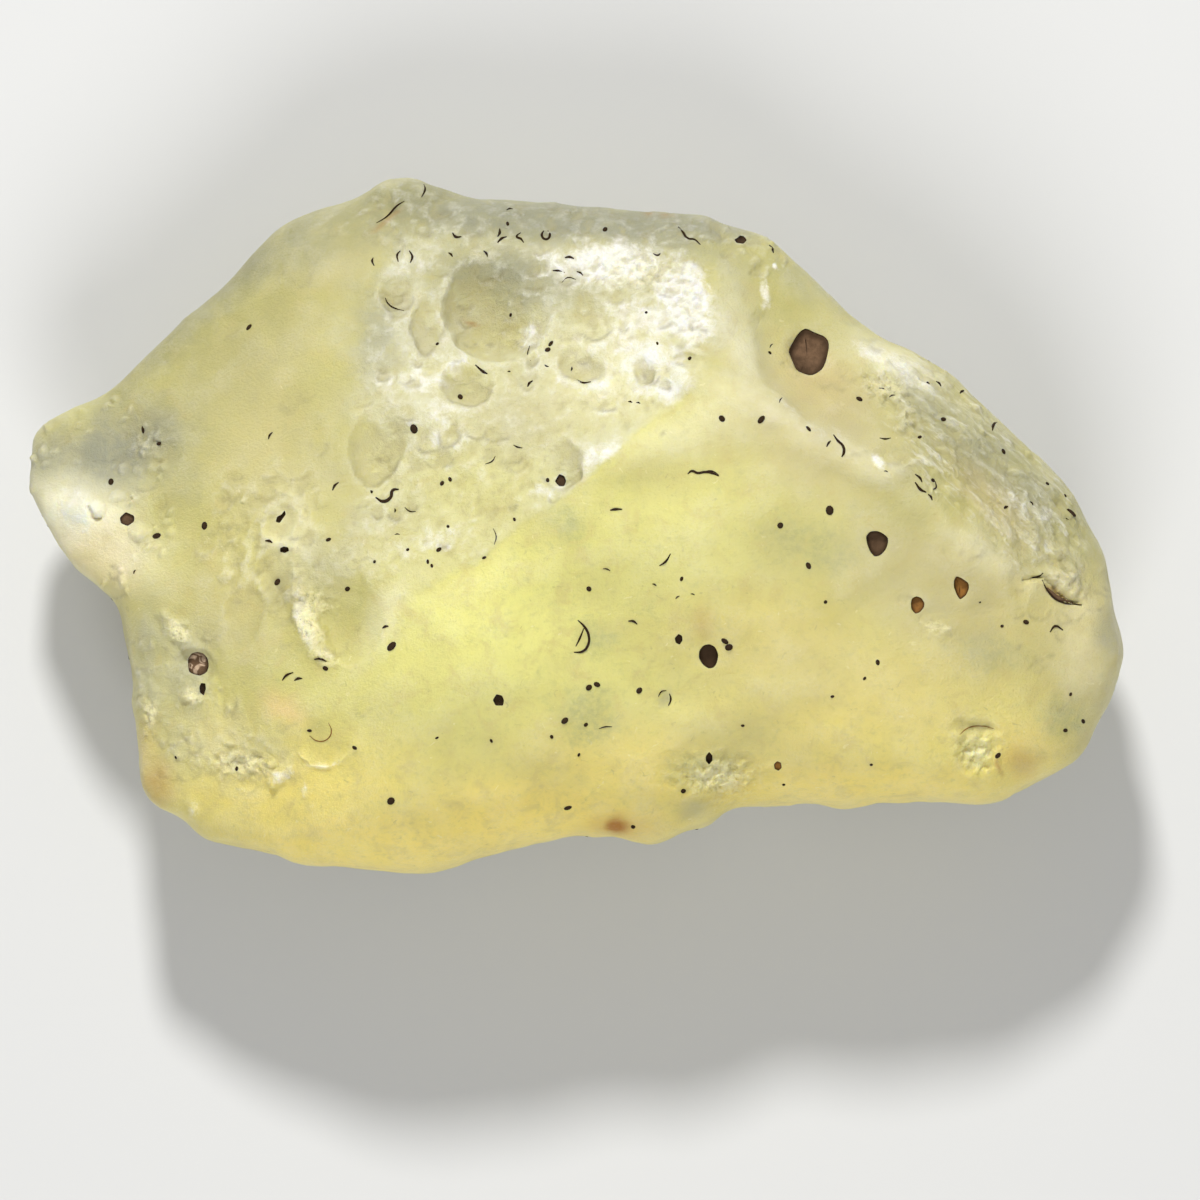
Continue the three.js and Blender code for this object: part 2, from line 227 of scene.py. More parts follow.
# %% Pits that show, the big one first: x, y, depth, tone, sink, and the points of the mouth
PIT_ROWS = [
    (11.61, 8.63, 0.75, 0.5, 0.2, (-0.19, 1.2), (0.4, 0.9), (0.77, 0.8), (0.98, 0.5), (0.95, 0.15),
     (0.8, -0.5), (0.62, -0.88), (0.1, -1.19), (-0.64, -0.93), (-1.05, 0.05), (-0.54, 0.92)),
    (14.96, -0.9, 0.6, 0.25, 0.14, (-0.36, 0.6), (0, 0.63), (0.26, 0.52), (0.54, 0.3), (0.54, 0.02),
     (0.42, -0.31), (0.15, -0.59), (-0.13, -0.65), (-0.36, -0.37), (-0.5, 0.02), (-0.55, 0.36)),
    (19.16, -3.08, 0.5, 0.85, 0.12, (-0.26, 0.58), (0.02, 0.47), (0.36, 0.22), (0.39, -0.03),
     (0.25, -0.37), (-0.06, -0.62), (-0.22, -0.37), (-0.37, 0.02), (-0.37, 0.36)),
    (17, -3.95, 0.4, 0.8, 0.1, (-0.09, 0.45), (0.17, 0.36), (0.33, 0.11), (0.31, -0.11), (0.11, -0.36),
     (-0.13, -0.45), (-0.33, -0.22), (-0.36, 0.11), (-0.31, 0.33)),
    (6.6, -6.5, 0.55, 0.12, 0.14, (0.04, 0.62), (0.32, 0.48), (0.48, 0.09), (0.41, -0.3), (0.27, -0.55),
     (0, -0.61), (-0.29, -0.41), (-0.49, -0.08), (-0.46, 0.31), (-0.26, 0.56)),
    (-22.38, 0.33, 0.4, 0.35, 0.08, (-0.07, 0.36), (0.36, 0.17), (0.36, -0.11), (0.03, -0.35),
     (-0.31, -0.21), (-0.37, 0.08)),
    (-18.83, -6.87, 0.45, 1.12, 0.06, (-0.03, 0.6), (0.26, 0.53), (0.48, 0.29), (0.55, -0.1),
     (0.45, -0.43), (0.11, -0.62), (-0.22, -0.53), (-0.46, -0.43), (-0.5, -0.1), (-0.51, 0.24),
     (-0.32, 0.53)),
    (-18.6, -8.15, 0.35, 0.05, 0.1, (-0.08, 0.32), (0.14, 0.3), (0.17, 0.02), (0.06, -0.32),
     (-0.14, -0.16), (-0.16, 0.12)),
    (6.63, -11.57, 0.35, 0, 0.1, (0, 0.33), (0.16, 0.14), (0.17, -0.12), (0, -0.33), (-0.17, -0.14),
     (-0.17, 0.1)),
    (-0.77, 2.24, 0.35, 0.2, 0.08, (-0.06, 0.32), (0.2, 0.22), (0.3, -0.04), (0.2, -0.3), (-0.06, -0.3),
     (-0.28, -0.06)),
    (-3.85, -8.67, 0.35, 0, 0.08, (-0.1, 0.3), (0.18, 0.24), (0.29, 0), (0.24, -0.28), (-0.14, -0.28),
     (-0.28, 0)),
    (10.05, -11.95, 0.3, 0.95, 0.04, (-0.04, 0.24), (0.16, 0.16), (0.2, -0.1), (0.04, -0.26),
     (-0.16, -0.16), (-0.2, 0.08)),
    (-14.72, 0.42, 0.3, 0.05, 0.06, (0.24, 0.36), (0.3, 0.14), (0.12, -0.1), (-0.02, -0.3),
     (-0.22, -0.24), (-0.16, 0.02), (0.08, 0.14)),
    (5.1, -5.65, 0.3, 0.05, 0.06, (0, 0.28), (0.18, 0.18), (0.2, -0.06), (0.06, -0.28), (-0.14, -0.18),
     (-0.2, 0.06)),
    (-14.5, -1.2, 0.3, 0, 0.06, (-0.04, 0.17), (0.2, 0.12), (0.24, -0.06), (0.02, -0.17), (-0.22, -0.1),
     (-0.22, 0.08)),
    (8.2, 14.25, 0.3, 0.15, 0.05, (-0.02, 0.24), (0.18, 0.2), (0.34, 0), (0.16, -0.2), (-0.2, -0.16),
     (-0.32, 0.02), (-0.16, 0.1)),
]
PITS = [
    dict(at=(x, y), deep=deep, tone=tone, sink=sink, mouth=mouth)
    for x, y, deep, tone, sink, *mouth in PIT_ROWS
]


# %% Make the skin finer where it shows, and finer still where it is rough
def refine(wanted, smooth_rounds=3):
    """Splits the lump's faces whose corners are all wanted, and rounds them."""
    select_only(lump)
    bpy.ops.object.mode_set(mode="EDIT")
    bpy.ops.mesh.select_all(action="DESELECT")
    bpy.ops.object.mode_set(mode="OBJECT")
    for face in lump.data.polygons:
        face.select = all(wanted[corner] for corner in face.vertices)
    bpy.ops.object.mode_set(mode="EDIT")
    bpy.ops.mesh.subdivide(number_cuts=1)
    bpy.ops.mesh.vertices_smooth(factor=0.5, repeat=smooth_rounds)
    bpy.ops.mesh.select_all(action="DESELECT")
    bpy.ops.object.mode_set(mode="OBJECT")


VISIBLE_FACING, TOP_FACING = -0.2, 0.1
places, facings = read_skin(lump)
refine(facings[:, 2] > VISIBLE_FACING)
print("with a finer upper side:", triangle_count(lump), "triangles")

places, facings = read_skin(lump)
fine = np.zeros(len(places), bool)
for zone in FINE_ZONES:
    fine |= distance_inside(places[:, :2], zone) > -FINE_MARGIN
for pit in PITS:
    fine |= distance_inside(places[:, :2], np.array(pit["mouth"]) + pit["at"]) > -FINE_MARGIN
refine(fine & (facings[:, 2] > TOP_FACING), smooth_rounds=2)
print("with fine zones:", triangle_count(lump), "triangles")

# %% [markdown]
# The solid's outline is right to a few tenths of a millimetre, but the even skin has rounded its corners. So
# the skin is stretched outwards or inwards near its edge until it meets the outline of the real lump, seen
# from above.

# %% The outline seen from above, clockwise from the left knob
MIDDLE = np.array([0.5, -0.5])
OUTLINE = [
    # left knob, upper left slope, crest and top edge
    (-27.35, 2), (-27.1, 3.6), (-27.2, 4.3), (-26.9, 4.9), (-26.05, 5.65), (-23.7, 6.6), (-22.7, 7.4),
    (-15.05, 14.7), (-13.9, 15.4), (-10.2, 16.9), (-9.55, 17.3), (-8.2, 17.4), (-4.85, 16.4), (6.35, 15.55),
    # right shoulder, nose and foot
    (9.8, 14.3), (11.35, 12.9), (13.4, 10.7), (15.2, 9.5), (17.2, 8.5), (18.75, 7.5), (23.7, 3),
    (24.95, 1.5), (26.5, -1.5), (27.4, -6.3), (26.85, -8.45), (25.05, -11.9), (21.15, -14), (15.9, -13.8),
    (13.55, -14.2), (11.15, -13.9), (8.45, -14.1), (7.55, -14.3),
    # notch, toe, left foot, heel and wall
    (6.8, -15), (6.25, -15.2), (5.6, -15.2), (4.35, -15.9), (3.65, -16), (2, -15.6), (0.15, -15.5),
    (-2.1, -15.9), (-7.35, -17.45), (-13.3, -17), (-18.35, -15.9), (-19.1, -15.3), (-19.65, -14.6),
    (-20.95, -14.1), (-21.45, -13.5), (-21.85, -12.45), (-22.15, -9.4), (-22.15, -7.6), (-22.75, -4.5),
    (-23.05, -3.8), (-25.6, -1.7), (-26.95, 0.9),
]

# %% Stretch the skin to it
BEARINGS = 360
EDGE_DIVISIONS = 40
EDGE_HOLD = 7
EDGE_STRETCH = 0.4
BLEND_ROUNDS = 2
NEVER_ZERO = 0.01


def bearing_and_reach(plan):
    """The direction of points from the middle, and how far they are from it."""
    offset = plan - MIDDLE
    return np.arctan2(offset[:, 1], offset[:, 0]), np.hypot(*offset.T)


def outline_reach(bearings):
    """How far the outline is from the middle, looked up by bearing along its finely divided edges."""
    corners = np.array(OUTLINE)
    shares = np.linspace(0, 1, EDGE_DIVISIONS, endpoint=False)[:, None, None]
    divided = (corners + shares * (np.roll(corners, -1, axis=0) - corners)).reshape(-1, 2)
    known, reach = bearing_and_reach(divided)
    order = np.argsort(known)
    return np.interp(bearings, known[order], reach[order], period=math.tau)


places, facings = read_skin(lump)
bearings, reach = bearing_and_reach(places[:, :2])
sector = ((bearings + math.pi) / math.tau * BEARINGS).astype(int) % BEARINGS
widest = np.zeros(BEARINGS)
np.maximum.at(widest, sector, reach)
centres = (np.arange(BEARINGS) + 0.5) / BEARINGS * math.tau - math.pi
missing = np.clip(outline_reach(centres) - widest, -EDGE_STRETCH, EDGE_STRETCH)
for _ in range(BLEND_ROUNDS):
    missing = (np.roll(missing, 1) + 2 * missing + np.roll(missing, -1)) / 4
skin_reach = np.interp(bearings, centres, widest, period=math.tau)
stretch = np.interp(bearings, centres, missing, period=math.tau)
nearness = np.minimum(reach / skin_reach, 1) ** EDGE_HOLD
outwards = (places[:, :2] - MIDDLE) / np.maximum(reach, NEVER_ZERO)[:, None]
places[:, :2] += outwards * (stretch * nearness)[:, None]
write_skin(lump, places)
print("furthest stretch:", round(float(np.abs(stretch * nearness).max()), 2), "mm")


# %% [markdown]
# ## Scoops
# Wind-driven sand wears shallow scoops into glass. Each has a crisp rim, and where two meet, a fine ridge
# is left. Cutting each with a boolean would leave hard, round craters. So the skin is pushed in by a formula
# for each scoop, and the lowest of all formulas counts at every point, which makes those ridges by itself.


# %% Formulas for scoops and swellings
def soft_min(a, b, ease):
    """The lower of two depths, with the ridge between them rounded over an ease in millimetres."""
    overlap = np.maximum(ease - np.abs(a - b), 0) / ease
    return np.minimum(a, b) - overlap**2 * ease / 4


def in_oval(plan, at, half, turn=0):
    """Where points are in an oval, along and across it, with 1 at the rim."""
    way = math.radians(turn)
    axes = np.array([[math.cos(way), math.sin(way)], [-math.sin(way), math.cos(way)]])
    return (plan - at) @ axes.T / np.array(half)


WOBBLE, WOBBLE_SIZE = 0.22, 1.1
FADE, FADE_POWER = 1.2, 1.3


def wobbled(plan):
    """Places on the plan, each shifted a little by noise, so that an oval on them gets an uneven rim."""
    flat = np.column_stack([plan, np.zeros(len(plan))])
    return plan + WOBBLE * np.stack([noise_at(flat + shift, WOBBLE_SIZE, 2) for shift in (0, 50)], 1)


def oval_mask(plan, ovals):
    """Ovals that fade outwards. Each has a place, half widths, a strength, and maybe a turn."""
    mask = np.zeros(len(plan))
    for x, y, along, across, strength, *turn in ovals:
        square = (in_oval(plan, (x, y), (along, across), *turn) ** 2).sum(1)
        mask = np.maximum(mask, strength * np.exp(-FADE * square**FADE_POWER))
    return mask


class Relief:
    """How far each point of the skin is pushed in or out, in millimetres."""

    OPEN_FACING, SAME_SIDE = 0.05, 0.2
    ASKEW = (0.3, 0.5, 0.8)
    PAST_RIM = 1.25

    def __init__(self, places, facings):
        self.places, self.facings = places, facings
        self.plan = wobbled(places[:, :2])
        self.depth = np.zeros(len(places))
        self.lift = np.zeros(len(places))

    def oval(self, at, half, turn, reach, facing=None):
        """The points near a place, and where each is in the oval."""
        if len(at) == 2:
            plan = self.plan - at
            open_side = self.facings[:, 2] > self.OPEN_FACING
        else:
            first = np.cross(facing, self.ASKEW)
            first /= np.linalg.norm(first)
            offset = self.places - at
            plan = np.stack([offset @ first, offset @ np.cross(facing, first)], 1)
            same_side = self.facings @ facing > self.SAME_SIDE
            open_side = same_side & (np.abs(offset @ facing) < max(half))
        near = np.flatnonzero(open_side & ((plan**2).sum(1) < (reach * max(half)) ** 2))
        return near, in_oval(plan[near], (0, 0), half, turn)

    def scoop(self, at, half, deep, turn=0, lean=(0, 0), power=2.5, ease=0.25, facing=None):
        """A bowl. It is deeper where it leans to, steeper with more power, and softer with more ease."""
        near, across = self.oval(at, half, turn, self.PAST_RIM, facing)
        square = (across**2).sum(1)
        bowl = -deep * (1 - square ** (power / 2)) * np.maximum(1 + across @ lean, 0)
        self.depth[near] = soft_min(self.depth[near], bowl, ease * deep)
        return dict(at=at, half=half, turn=turn)

    def swell(self, at, half, high, turn=0, sharp=2):
        """A rounded bump on the upper side. The lower sharp is, the steeper is its edge."""
        near, across = self.oval(at, half, turn, 1)
        self.lift[near] += high * np.maximum(0, 1 - (across**2).sum(1)) ** sharp

    def ridge(self, points, width, high):
        """A raised or, where high is negative, a sunken line on the upper side."""
        nearest = distance_to_line(self.plan, points)
        upper = self.facings[:, 2] > self.OPEN_FACING
        self.lift += np.where(upper, high * np.maximum(0, 1 - (nearest / width) ** 2) ** 2, 0)


# %% The scoops that show most, on the frosted face
# Each is x, y, half length, half width and depth. A turn, a lean, a power and an ease follow where it has
# its own.
relief = Relief(*read_skin(lump))
FROSTED_SCOOPS = [
    (-3.9, 10.8, 2.8, 2.8, 0.55, 0, (-0.55, -0.8), 4, 0.12),
    (-7.4, 10.1, 0.9, 1.5, 0.26, 0, (-0.6, -0.6), 3.5, 0.1),
    (-5.3, 7.15, 1.45, 1.2, 0.28, 0, (-0.3, -0.85), 4, 0.1),
    (-8.9, 11.7, 0.9, 1.1, 0.2, 0, (-0.3, -0.95), 3.5, 0.1),
    (-9.9, 4.1, 1.4, 2.1, 0.26, -14, (0.1, -0.95), 4, 0.1),
    (-0.7, 3.05, 1.1, 1.3, 0.3, 0, (0.75, -0.5), 4, 0.1),
    (0.3, 8.1, 1.25, 1, 0.26, 0, (-0.2, -0.95), 4, 0.1),
    (3.35, 7.8, 0.55, 0.85, 0.22, 0, (0.1, -0.95), 4, 0.1), (-2.25, 8.5, 0.32, 0.5, 0.1),
    (-2.35, 7.3, 0.45, 0.6, 0.08, -30), (4.35, 7.15, 0.3, 0.3, 0.14), (-9.5, 7.6, 0.45, 0.45, 0.1),
    (-7.9, 8.25, 0.3, 0.3, 0.08, 0, (0, -0.5)), (-8.1, 7.1, 0.38, 0.35, 0.08, 0, (0, -0.5)),
    (-6.3, 4.9, 0.6, 0.9, 0.12, 0, (0.5, -0.3), 3), (-4.9, 5, 0.65, 0.7, 0.07),
    (-4.35, 3.5, 0.4, 0.38, 0.08, 0, (0.4, -0.4)), (-8.2, 1.1, 0.5, 0.38, 0.1, 0, (0, -0.5)),
    (-8.95, 0.7, 0.35, 0.42, 0.1, 0, (0, -0.5)), (-9.9, 0.6, 0.4, 0.42, 0.08),
    (-11.1, 4.3, 0.25, 0.25, 0.06), (6.1, 9.9, 0.45, 0.36, 0.12), (5.5, 8.2, 0.55, 0.4, 0.1),
    (1, 10.1, 1, 0.8, 0.08), (2.4, 9.9, 0.32, 0.42, 0.07), (-0.3, 12.5, 0.65, 0.5, 0.1, 0, (0, 0.4)),
    (-11.3, -4.7, 1.7, 2.25, 0.3, 8, (-0.3, -0.35), 3.5, 0.12),
]
carved = [relief.scoop((x, y), (along, across), *more) for x, y, along, across, *more in FROSTED_SCOOPS]

# %% Scoops elsewhere on the upper side
OTHER_SCOOPS = [
    (-12.75, -10.15, 0.6, 0.6, 0.08, 0, (0, 0), 5, 0.1),
    (4.45, -8.6, 0.26, 0.36, 0.14, 0, (0, 0), 4, 0.1),
    (-12.4, -10.3, 1.45, 1.55, 0.12, 0, (0, -0.7), 4, 0.1), (-18.9, -7, 0.9, 1.1, 0.2, 20),
    (-16.75, -5.4, 0.45, 1.1, 0.12, -10), (-15, -2.2, 0.95, 1.4, 0.3, -12, (-0.4, -0.4), 3.5, 0.15),
    (-14.7, 0.2, 0.8, 1.1, 0.24, -25, (-0.3, 0), 3, 0.15),
    (-16.6, -4.6, 1, 1.9, 0.25, -12, (0, 0), 3, 0.2), (-20.4, 3.6, 0.9, 0.7, 0.16, 20),
    (-12.75, -10.2, 0.58, 0.58, 0.1, 0, (0, 0), 6, 0.08),
    (19.8, -10.15, 1.3, 0.45, 0.22, -8, (0, 0), 2.5, 0.15), (9.9, 4.9, 0.5, 0.45, 0.06, 0, (0, -0.6), 4),
    (9.7, 3.4, 0.42, 0.5, 0.06, 0, (0, -0.6), 4), (20, -11.3, 1.15, 1.2, 0.16, 0, (0, 0), 4, 0.1),
    (17.6, -4.6, 1.1, 0.6, 0.1, -20), (20.4, -4, 0.9, 0.6, 0.08, 20, (0, -0.6)),
    (22.1, -3, 0.6, 0.9, 0.1, 0, (-0.5, 0)), (15.4, 6.9, 1.3, 0.55, 0.12, -25),
]
for x, y, along, across, *more in OTHER_SCOOPS:
    relief.scoop((x, y), (along, across), *more)

# %% Bumps: x, y, half length, half width and height, and then the turn and how sharp the edge is
BUMPS = [
    (-24.6, 1.1, 1.3, 1.1, 0.3), (-23.85, 0.8, 0.45, 0.45, 0.3, 0, 0.8),
    (-23.02, 1.6, 0.36, 0.36, 0.24, 0, 0.8), (-21.85, -0.25, 0.6, 0.45, 0.32, 0, 1),
    (-21, 3.6, 0.7, 0.5, 0.16), (-18.6, -1.5, 0.7, 0.5, 0.14), (-17.4, -2.5, 0.35, 0.6, 0.14),
    (-16.4, -2, 0.5, 2.2, 0.16, -8), (-20.9, -0.95, 0.28, 0.22, 0.12), (-19.4, -8.4, 0.8, 0.5, 0.2, 35),
    (-19, -14.1, 0.5, 0.9, 0.2, 25), (-16.3, -12.3, 0.8, 0.35, 0.14, -10),
    (-15.1, -12.7, 0.8, 0.42, 0.16, 15), (9.5, 11.6, 0.28, 0.65, 0.12, 10),
    (19.2, 1.75, 1.1, 0.6, 0.14, -20, 1.2), (24.2, -2.6, 1.2, 0.9, 0.16, -35, 1),
    (-13.5, -13.2, 0.25, 0.5, 0.09, 10), (-13.2, -14.05, 0.25, 0.25, 0.09),
    (-14.7, -12.4, 1, 0.5, 0.14, 25), (24.5, -2.9, 1.1, 0.5, 0.2, -32, 0.8),
    (18, -4.9, 0.9, 0.3, 0.14, -25),
]
for x, y, along, across, *more in BUMPS:
    relief.swell((x, y), (along, across), *more)

# %% Ridges and grooves: the points of the line, its half width and its height
RIDGES = [
    ([(-20.7, -4.5), (-20.2, -5.3), (-19.5, -5.9), (-18.9, -6.1)], 0.5, 0.14),
    ([(-13.6, -2.9), (-13.9, -4.4), (-13.3, -5.7), (-12.4, -6.7)], 0.5, 0.06),
    ([(-13.7, -11.4), (-13.05, -11.8), (-12.3, -11.9), (-11.6, -11.6), (-11.05, -11.05)], 0.2, 0.12),
    ([(15.4, 8.2), (16.0, 7.2), (16.4, 6.0), (16.1, 4.9)], 0.35, 0.14),
    ([(16.4, 3.0), (17.2, 3.4), (17.9, 2.8), (18.9, 2.4)], 0.2, 0.08),
    ([(22.4, -2.7), (23.3, -2.5), (23.9, -3.4), (25.2, -3.9)], 0.18, -0.2),
    ([(-24.35, 0.9), (-24.25, 0.45), (-23.8, 0.3)], 0.16, -0.16),
    ([(5.5, 7.4), (8, 6.6), (10.4, 5.5), (11.8, 3.9), (13.4, 3.2), (15.6, 2.4)], 1.1, 0.3),
    ([(9.4, 10.2), (10.2, 7.2), (12.2, 5.4), (14.4, 4.6)], 0.9, -0.2),
]
for points, width, high in RIDGES:
    relief.ridge(points, width, high)

# %% Crusts, each as a place, half widths, a strength, and a turn where it has one
CRUSTS = [
    (20.05, -11.3, 1.15, 1.2, 0.8), (-13.35, -4.7, 0.7, 1.9, 1, 15), (-13, -3.9, 1.1, 1.1, 0.7),
    (-12.6, -6.4, 1.1, 0.5, 0.9, -30), (-16.5, -11.9, 2, 0.8, 0.8, -10), (7, -12.5, 2.6, 1.3, 0.75),
    (-19.9, -5.2, 1.0, 0.45, 0.9, -50), (-19.1, -8.4, 0.8, 0.5, 0.9, 35), (-21.3, -9.5, 0.5, 1.2, 0.8),
    (15.4, 6.9, 1.5, 0.7, 0.7, -25), (16.5, 5.5, 0.6, 1.1, 0.6), (3, 12.6, 3.5, 1.2, 0.6, -5),
    (17.9, -5.0, 1.2, 0.5, 0.7, -25), (24.3, -2.8, 1.4, 0.7, 0.6, -32), (5.6, 11, 1, 2.4, 0.5, 10),
    (-21.4, 4, 1.4, 0.9, 0.5, 20),
]

# %% [markdown]
# The rest is small, so only its kind and density matter, not each place. A seeded generator spreads shallow
# scoops and raised pebbles: chips on the frosted face, dents round it and along the top band, and ripples on
# their slope. Fractal noise roughens what they leave, and draws the ripples out along the slope.

# %% Small scoops by the hundred
dice = random.Random(11)
places, facings = relief.places, relief.facings
plan = places[:, :2]
on_top = facings[:, 2] > TOP_FACING


def pebbles(count, allowed, size, squeeze, high, turn, sway):
    """Small raised bumps at random points of the upper side where allowed is true."""
    spots = np.flatnonzero(allowed & on_top)
    for _ in range(count):
        wide = dice.uniform(*size)
        half = (wide, wide * dice.uniform(*squeeze))
        at = plan[spots[dice.randrange(len(spots))]]
        relief.swell(at, half, high * dice.uniform(0.5, 1), dice.gauss(turn, sway), sharp=1)


def spread(count, allowed, size, squeeze, depth_share, power=2, ease=0.5, turn=None, sway=12):
    """Scoops at random points where allowed is true. Sizes are half widths in millimetres."""
    spots = np.flatnonzero(allowed)
    made = []
    for _ in range(count):
        spot = spots[dice.randrange(len(spots))]
        wide = dice.uniform(*size) * dice.uniform(0.6, 1)
        half = (wide, wide * dice.uniform(*squeeze))
        lean = (dice.uniform(-0.5, 0.5), dice.uniform(-0.5, 0.5))
        deep = half[1] * depth_share * dice.uniform(0.5, 1.2)
        if turn is None:
            at, facing, way = tuple(places[spot]), facings[spot], dice.uniform(0, 180)
        else:
            at, facing, way = tuple(plan[spot]), None, dice.gauss(turn, sway)
        made.append(relief.scoop(at, half, deep, way, lean, power, ease, facing))
    return made


# %% Where each kind goes
RIPPLE_TURN, RIPPLE_STRETCH = -42, 2.6
BOSS = dict(at=(-25, 0), half=(2.8, 2.6))
ABOVE_FOOT = 0.4
frosted, rippled, walled, knobbed, dented, banded = [
    distance_inside(plan, zone)
    for zone in (FROSTED_FACE, RIPPLED_SLOPE, LEFT_WALL, KNOB, DENTED_SLOPE, TOP_BAND)
]
boss = (in_oval(plan, **BOSS) ** 2).sum(1) < 1
knobbed[boss] = -1
ragged = noise_at(places, 1.5)
smooth_face = on_top & (frosted < -0.5) & (rippled < -0.5)
left_slope = smooth_face & ~boss & (plan[:, 0] < -9)
right_shoulder = smooth_face & (plan[:, 1] > plan[:, 0] * -0.7 + 8)
hidden_side = ~on_top & (places[:, 2] > ABOVE_FOOT)

# %% Spread them, each with its count, place, range of sizes, squeeze and depth as a share of its width
CRISP = dict(power=3, ease=0.2)
WORN = dict(power=2.5, ease=0.35)
chipped_face = on_top & (frosted + ragged > 0.5)
chips = spread(50, chipped_face, (0.25, 0.9), (0.45, 1), 0.11, **CRISP, turn=0, sway=60)
spread(150, on_top & (rippled > 0), (0.4, 1.1), (0.25, 0.5), 0.13, **WORN, turn=RIPPLE_TURN)
spread(60, on_top & (walled > 0), (0.3, 0.9), (0.4, 1), 0.1, **WORN)
spread(24, on_top & (knobbed > 0), (0.3, 0.9), (0.6, 1), 0.1, **WORN)
spread(90, smooth_face, (0.4, 1.8), (0.5, 1), 0.035)
dents = spread(60, left_slope, (0.3, 1.2), (0.4, 1), 0.13, **CRISP, turn=60, sway=50)
dents += spread(55, on_top & (dented > 0), (0.3, 0.8), (0.4, 0.8), 0.24, **CRISP, turn=60, sway=40)
dents += spread(50, on_top & (banded > 0), (0.2, 0.7), (0.4, 0.9), 0.2, **CRISP, turn=20, sway=60)
dents += spread(40, right_shoulder, (0.3, 1.0), (0.5, 1), 0.12, power=3, ease=0.25, turn=0, sway=60)
spread(300, hidden_side, (0.5, 2.0), (0.5, 1), 0.1)
spread(120, hidden_side, (0.3, 0.6), (0.5, 1), 0.12)
crusted = oval_mask(relief.plan, CRUSTS)
PEBBLES = [
    # count, place, range of sizes, squeeze, height, turn and sway
    (90, rippled > 0, (0.2, 0.6), (0.25, 0.4), 0.1, RIPPLE_TURN, 14),
    (50, np.maximum(walled, knobbed) > 0, (0.1, 0.35), (0.5, 0.9), 0.12, 0, 60),
    (36, knobbed > 0, (0.14, 0.32), (0.4, 0.8), 0.2, 40, 20),
    (24, dented > 0, (0.15, 0.4), (0.4, 0.8), 0.1, 60, 30),
    (45, banded > 0, (0.12, 0.4), (0.4, 0.8), 0.1, 10, 40),
    (40, frosted > 0.3, (0.1, 0.3), (0.5, 0.9), 0.06, 0, 60),
    (45, crusted > 0.35, (0.1, 0.32), (0.4, 0.9), 0.12, 30, 50),
]
for kind in PEBBLES:
    pebbles(*kind)
print("deepest scoop:", round(-relief.depth.min(), 2), "mm")


# %% Roughness too fine for scoops
def drawn_out(points, turn, stretch):
    """Points whose noise is drawn out along a direction on the upper side."""
    way = math.radians(turn)
    along = points[:, :2] @ (math.cos(way), math.sin(way))
    across = points[:, :2] @ (-math.sin(way), math.cos(way))
    return np.stack([along / stretch, across, points[:, 2]], 1)


HAMMERED, CREASED, SUGARED, DENTED, RIPPLE, ROLLING, CRUST = 0.06, 0.06, 0.02, 0.05, 0.16, 0.14, 0.28
frost_share = soft_step(-0.4, 1.2, frosted + ragged) * on_top
ripple_share = soft_step(-0.2, 0.8, rippled) * on_top
wall_share = soft_step(-0.2, 0.5, walled) * on_top
dented_share = soft_step(-0.3, 0.6, np.maximum(dented, banded)) * on_top
rough_side = ~on_top * soft_step(0.1, 0.4, noise_at(places, 7, 2))
worn_share = frost_share + wall_share
relief.lift += HAMMERED * noise_at(places, size=0.9) * (worn_share + rough_side)
relief.lift -= CREASED * np.abs(noise_at(places, size=1.4)) * worn_share
relief.lift += SUGARED * noise_at(places, size=0.28, octaves=2) * worn_share
relief.lift += DENTED * noise_at(places, size=0.8) * dented_share
relief.lift += RIPPLE * noise_at(drawn_out(places, RIPPLE_TURN, RIPPLE_STRETCH), size=0.6) * ripple_share
relief.lift += ROLLING * noise_at(places, size=3.2, octaves=2)
relief.lift += CRUST * noise_at(places, size=0.45) * crusted * on_top

# %% Push the skin in and out, but leave the foot flat
FOOT_FADE = 0.5
foot = soft_step(0, FOOT_FADE, places[:, 2])
write_skin(lump, places + facings * ((relief.depth + relief.lift) * foot)[:, None])
places, facings = read_skin(lump)
places[:, 2] = np.maximum(places[:, 2], 0)
write_skin(lump, places)


# %% [markdown]
# ## Cutting the pits
# A pit is a real hole with a steep wall, so it is cut by a boolean. Each cutter starts as a filled circle
# whose corners are moved onto the mouth's outline. It is extruded into the glass and narrowed a little.


# %% A seat on the lump's surface
class Seat:
    """A place on the lump, with its own directions: out of the glass, and two across the surface."""

    REACH = 8 * MM

    def __init__(self, at, out=(0, 0, 1)):
        self.out = Vector(out).normalized()
        level = Vector((0, 0, 1)) if abs(self.out.z) < 0.9 else Vector((0, 1, 0))
        self.right = level.cross(self.out).normalized()
        self.up = self.out.cross(self.right)
        if len(at) == 2:
            at = (*at, (GLASS_TOP - self.REACH) / MM)
        self.at = Vector(at) * MM

    def on(self, right, up, raised=0):
        """The surface point at millimetres across the seat, raised out of the glass."""
        start = self.at + (self.right * right + self.up * up) * MM + self.out * self.REACH
        hit = GLASS_SKIN.ray_cast(start, -self.out)[0]
        if hit is None:
            hit = start - self.out * self.REACH
        return hit + self.out * raised * MM


GLASS_TOP = cad_box[1].z + Seat.REACH
GLASS_SKIN = BVHTree.FromObject(lump, bpy.context.evaluated_depsgraph_get())


# %% Round an outline, and lay a face on it
OUTLINE_CORNERS = 36
MOUTH_SCALE = 1.1


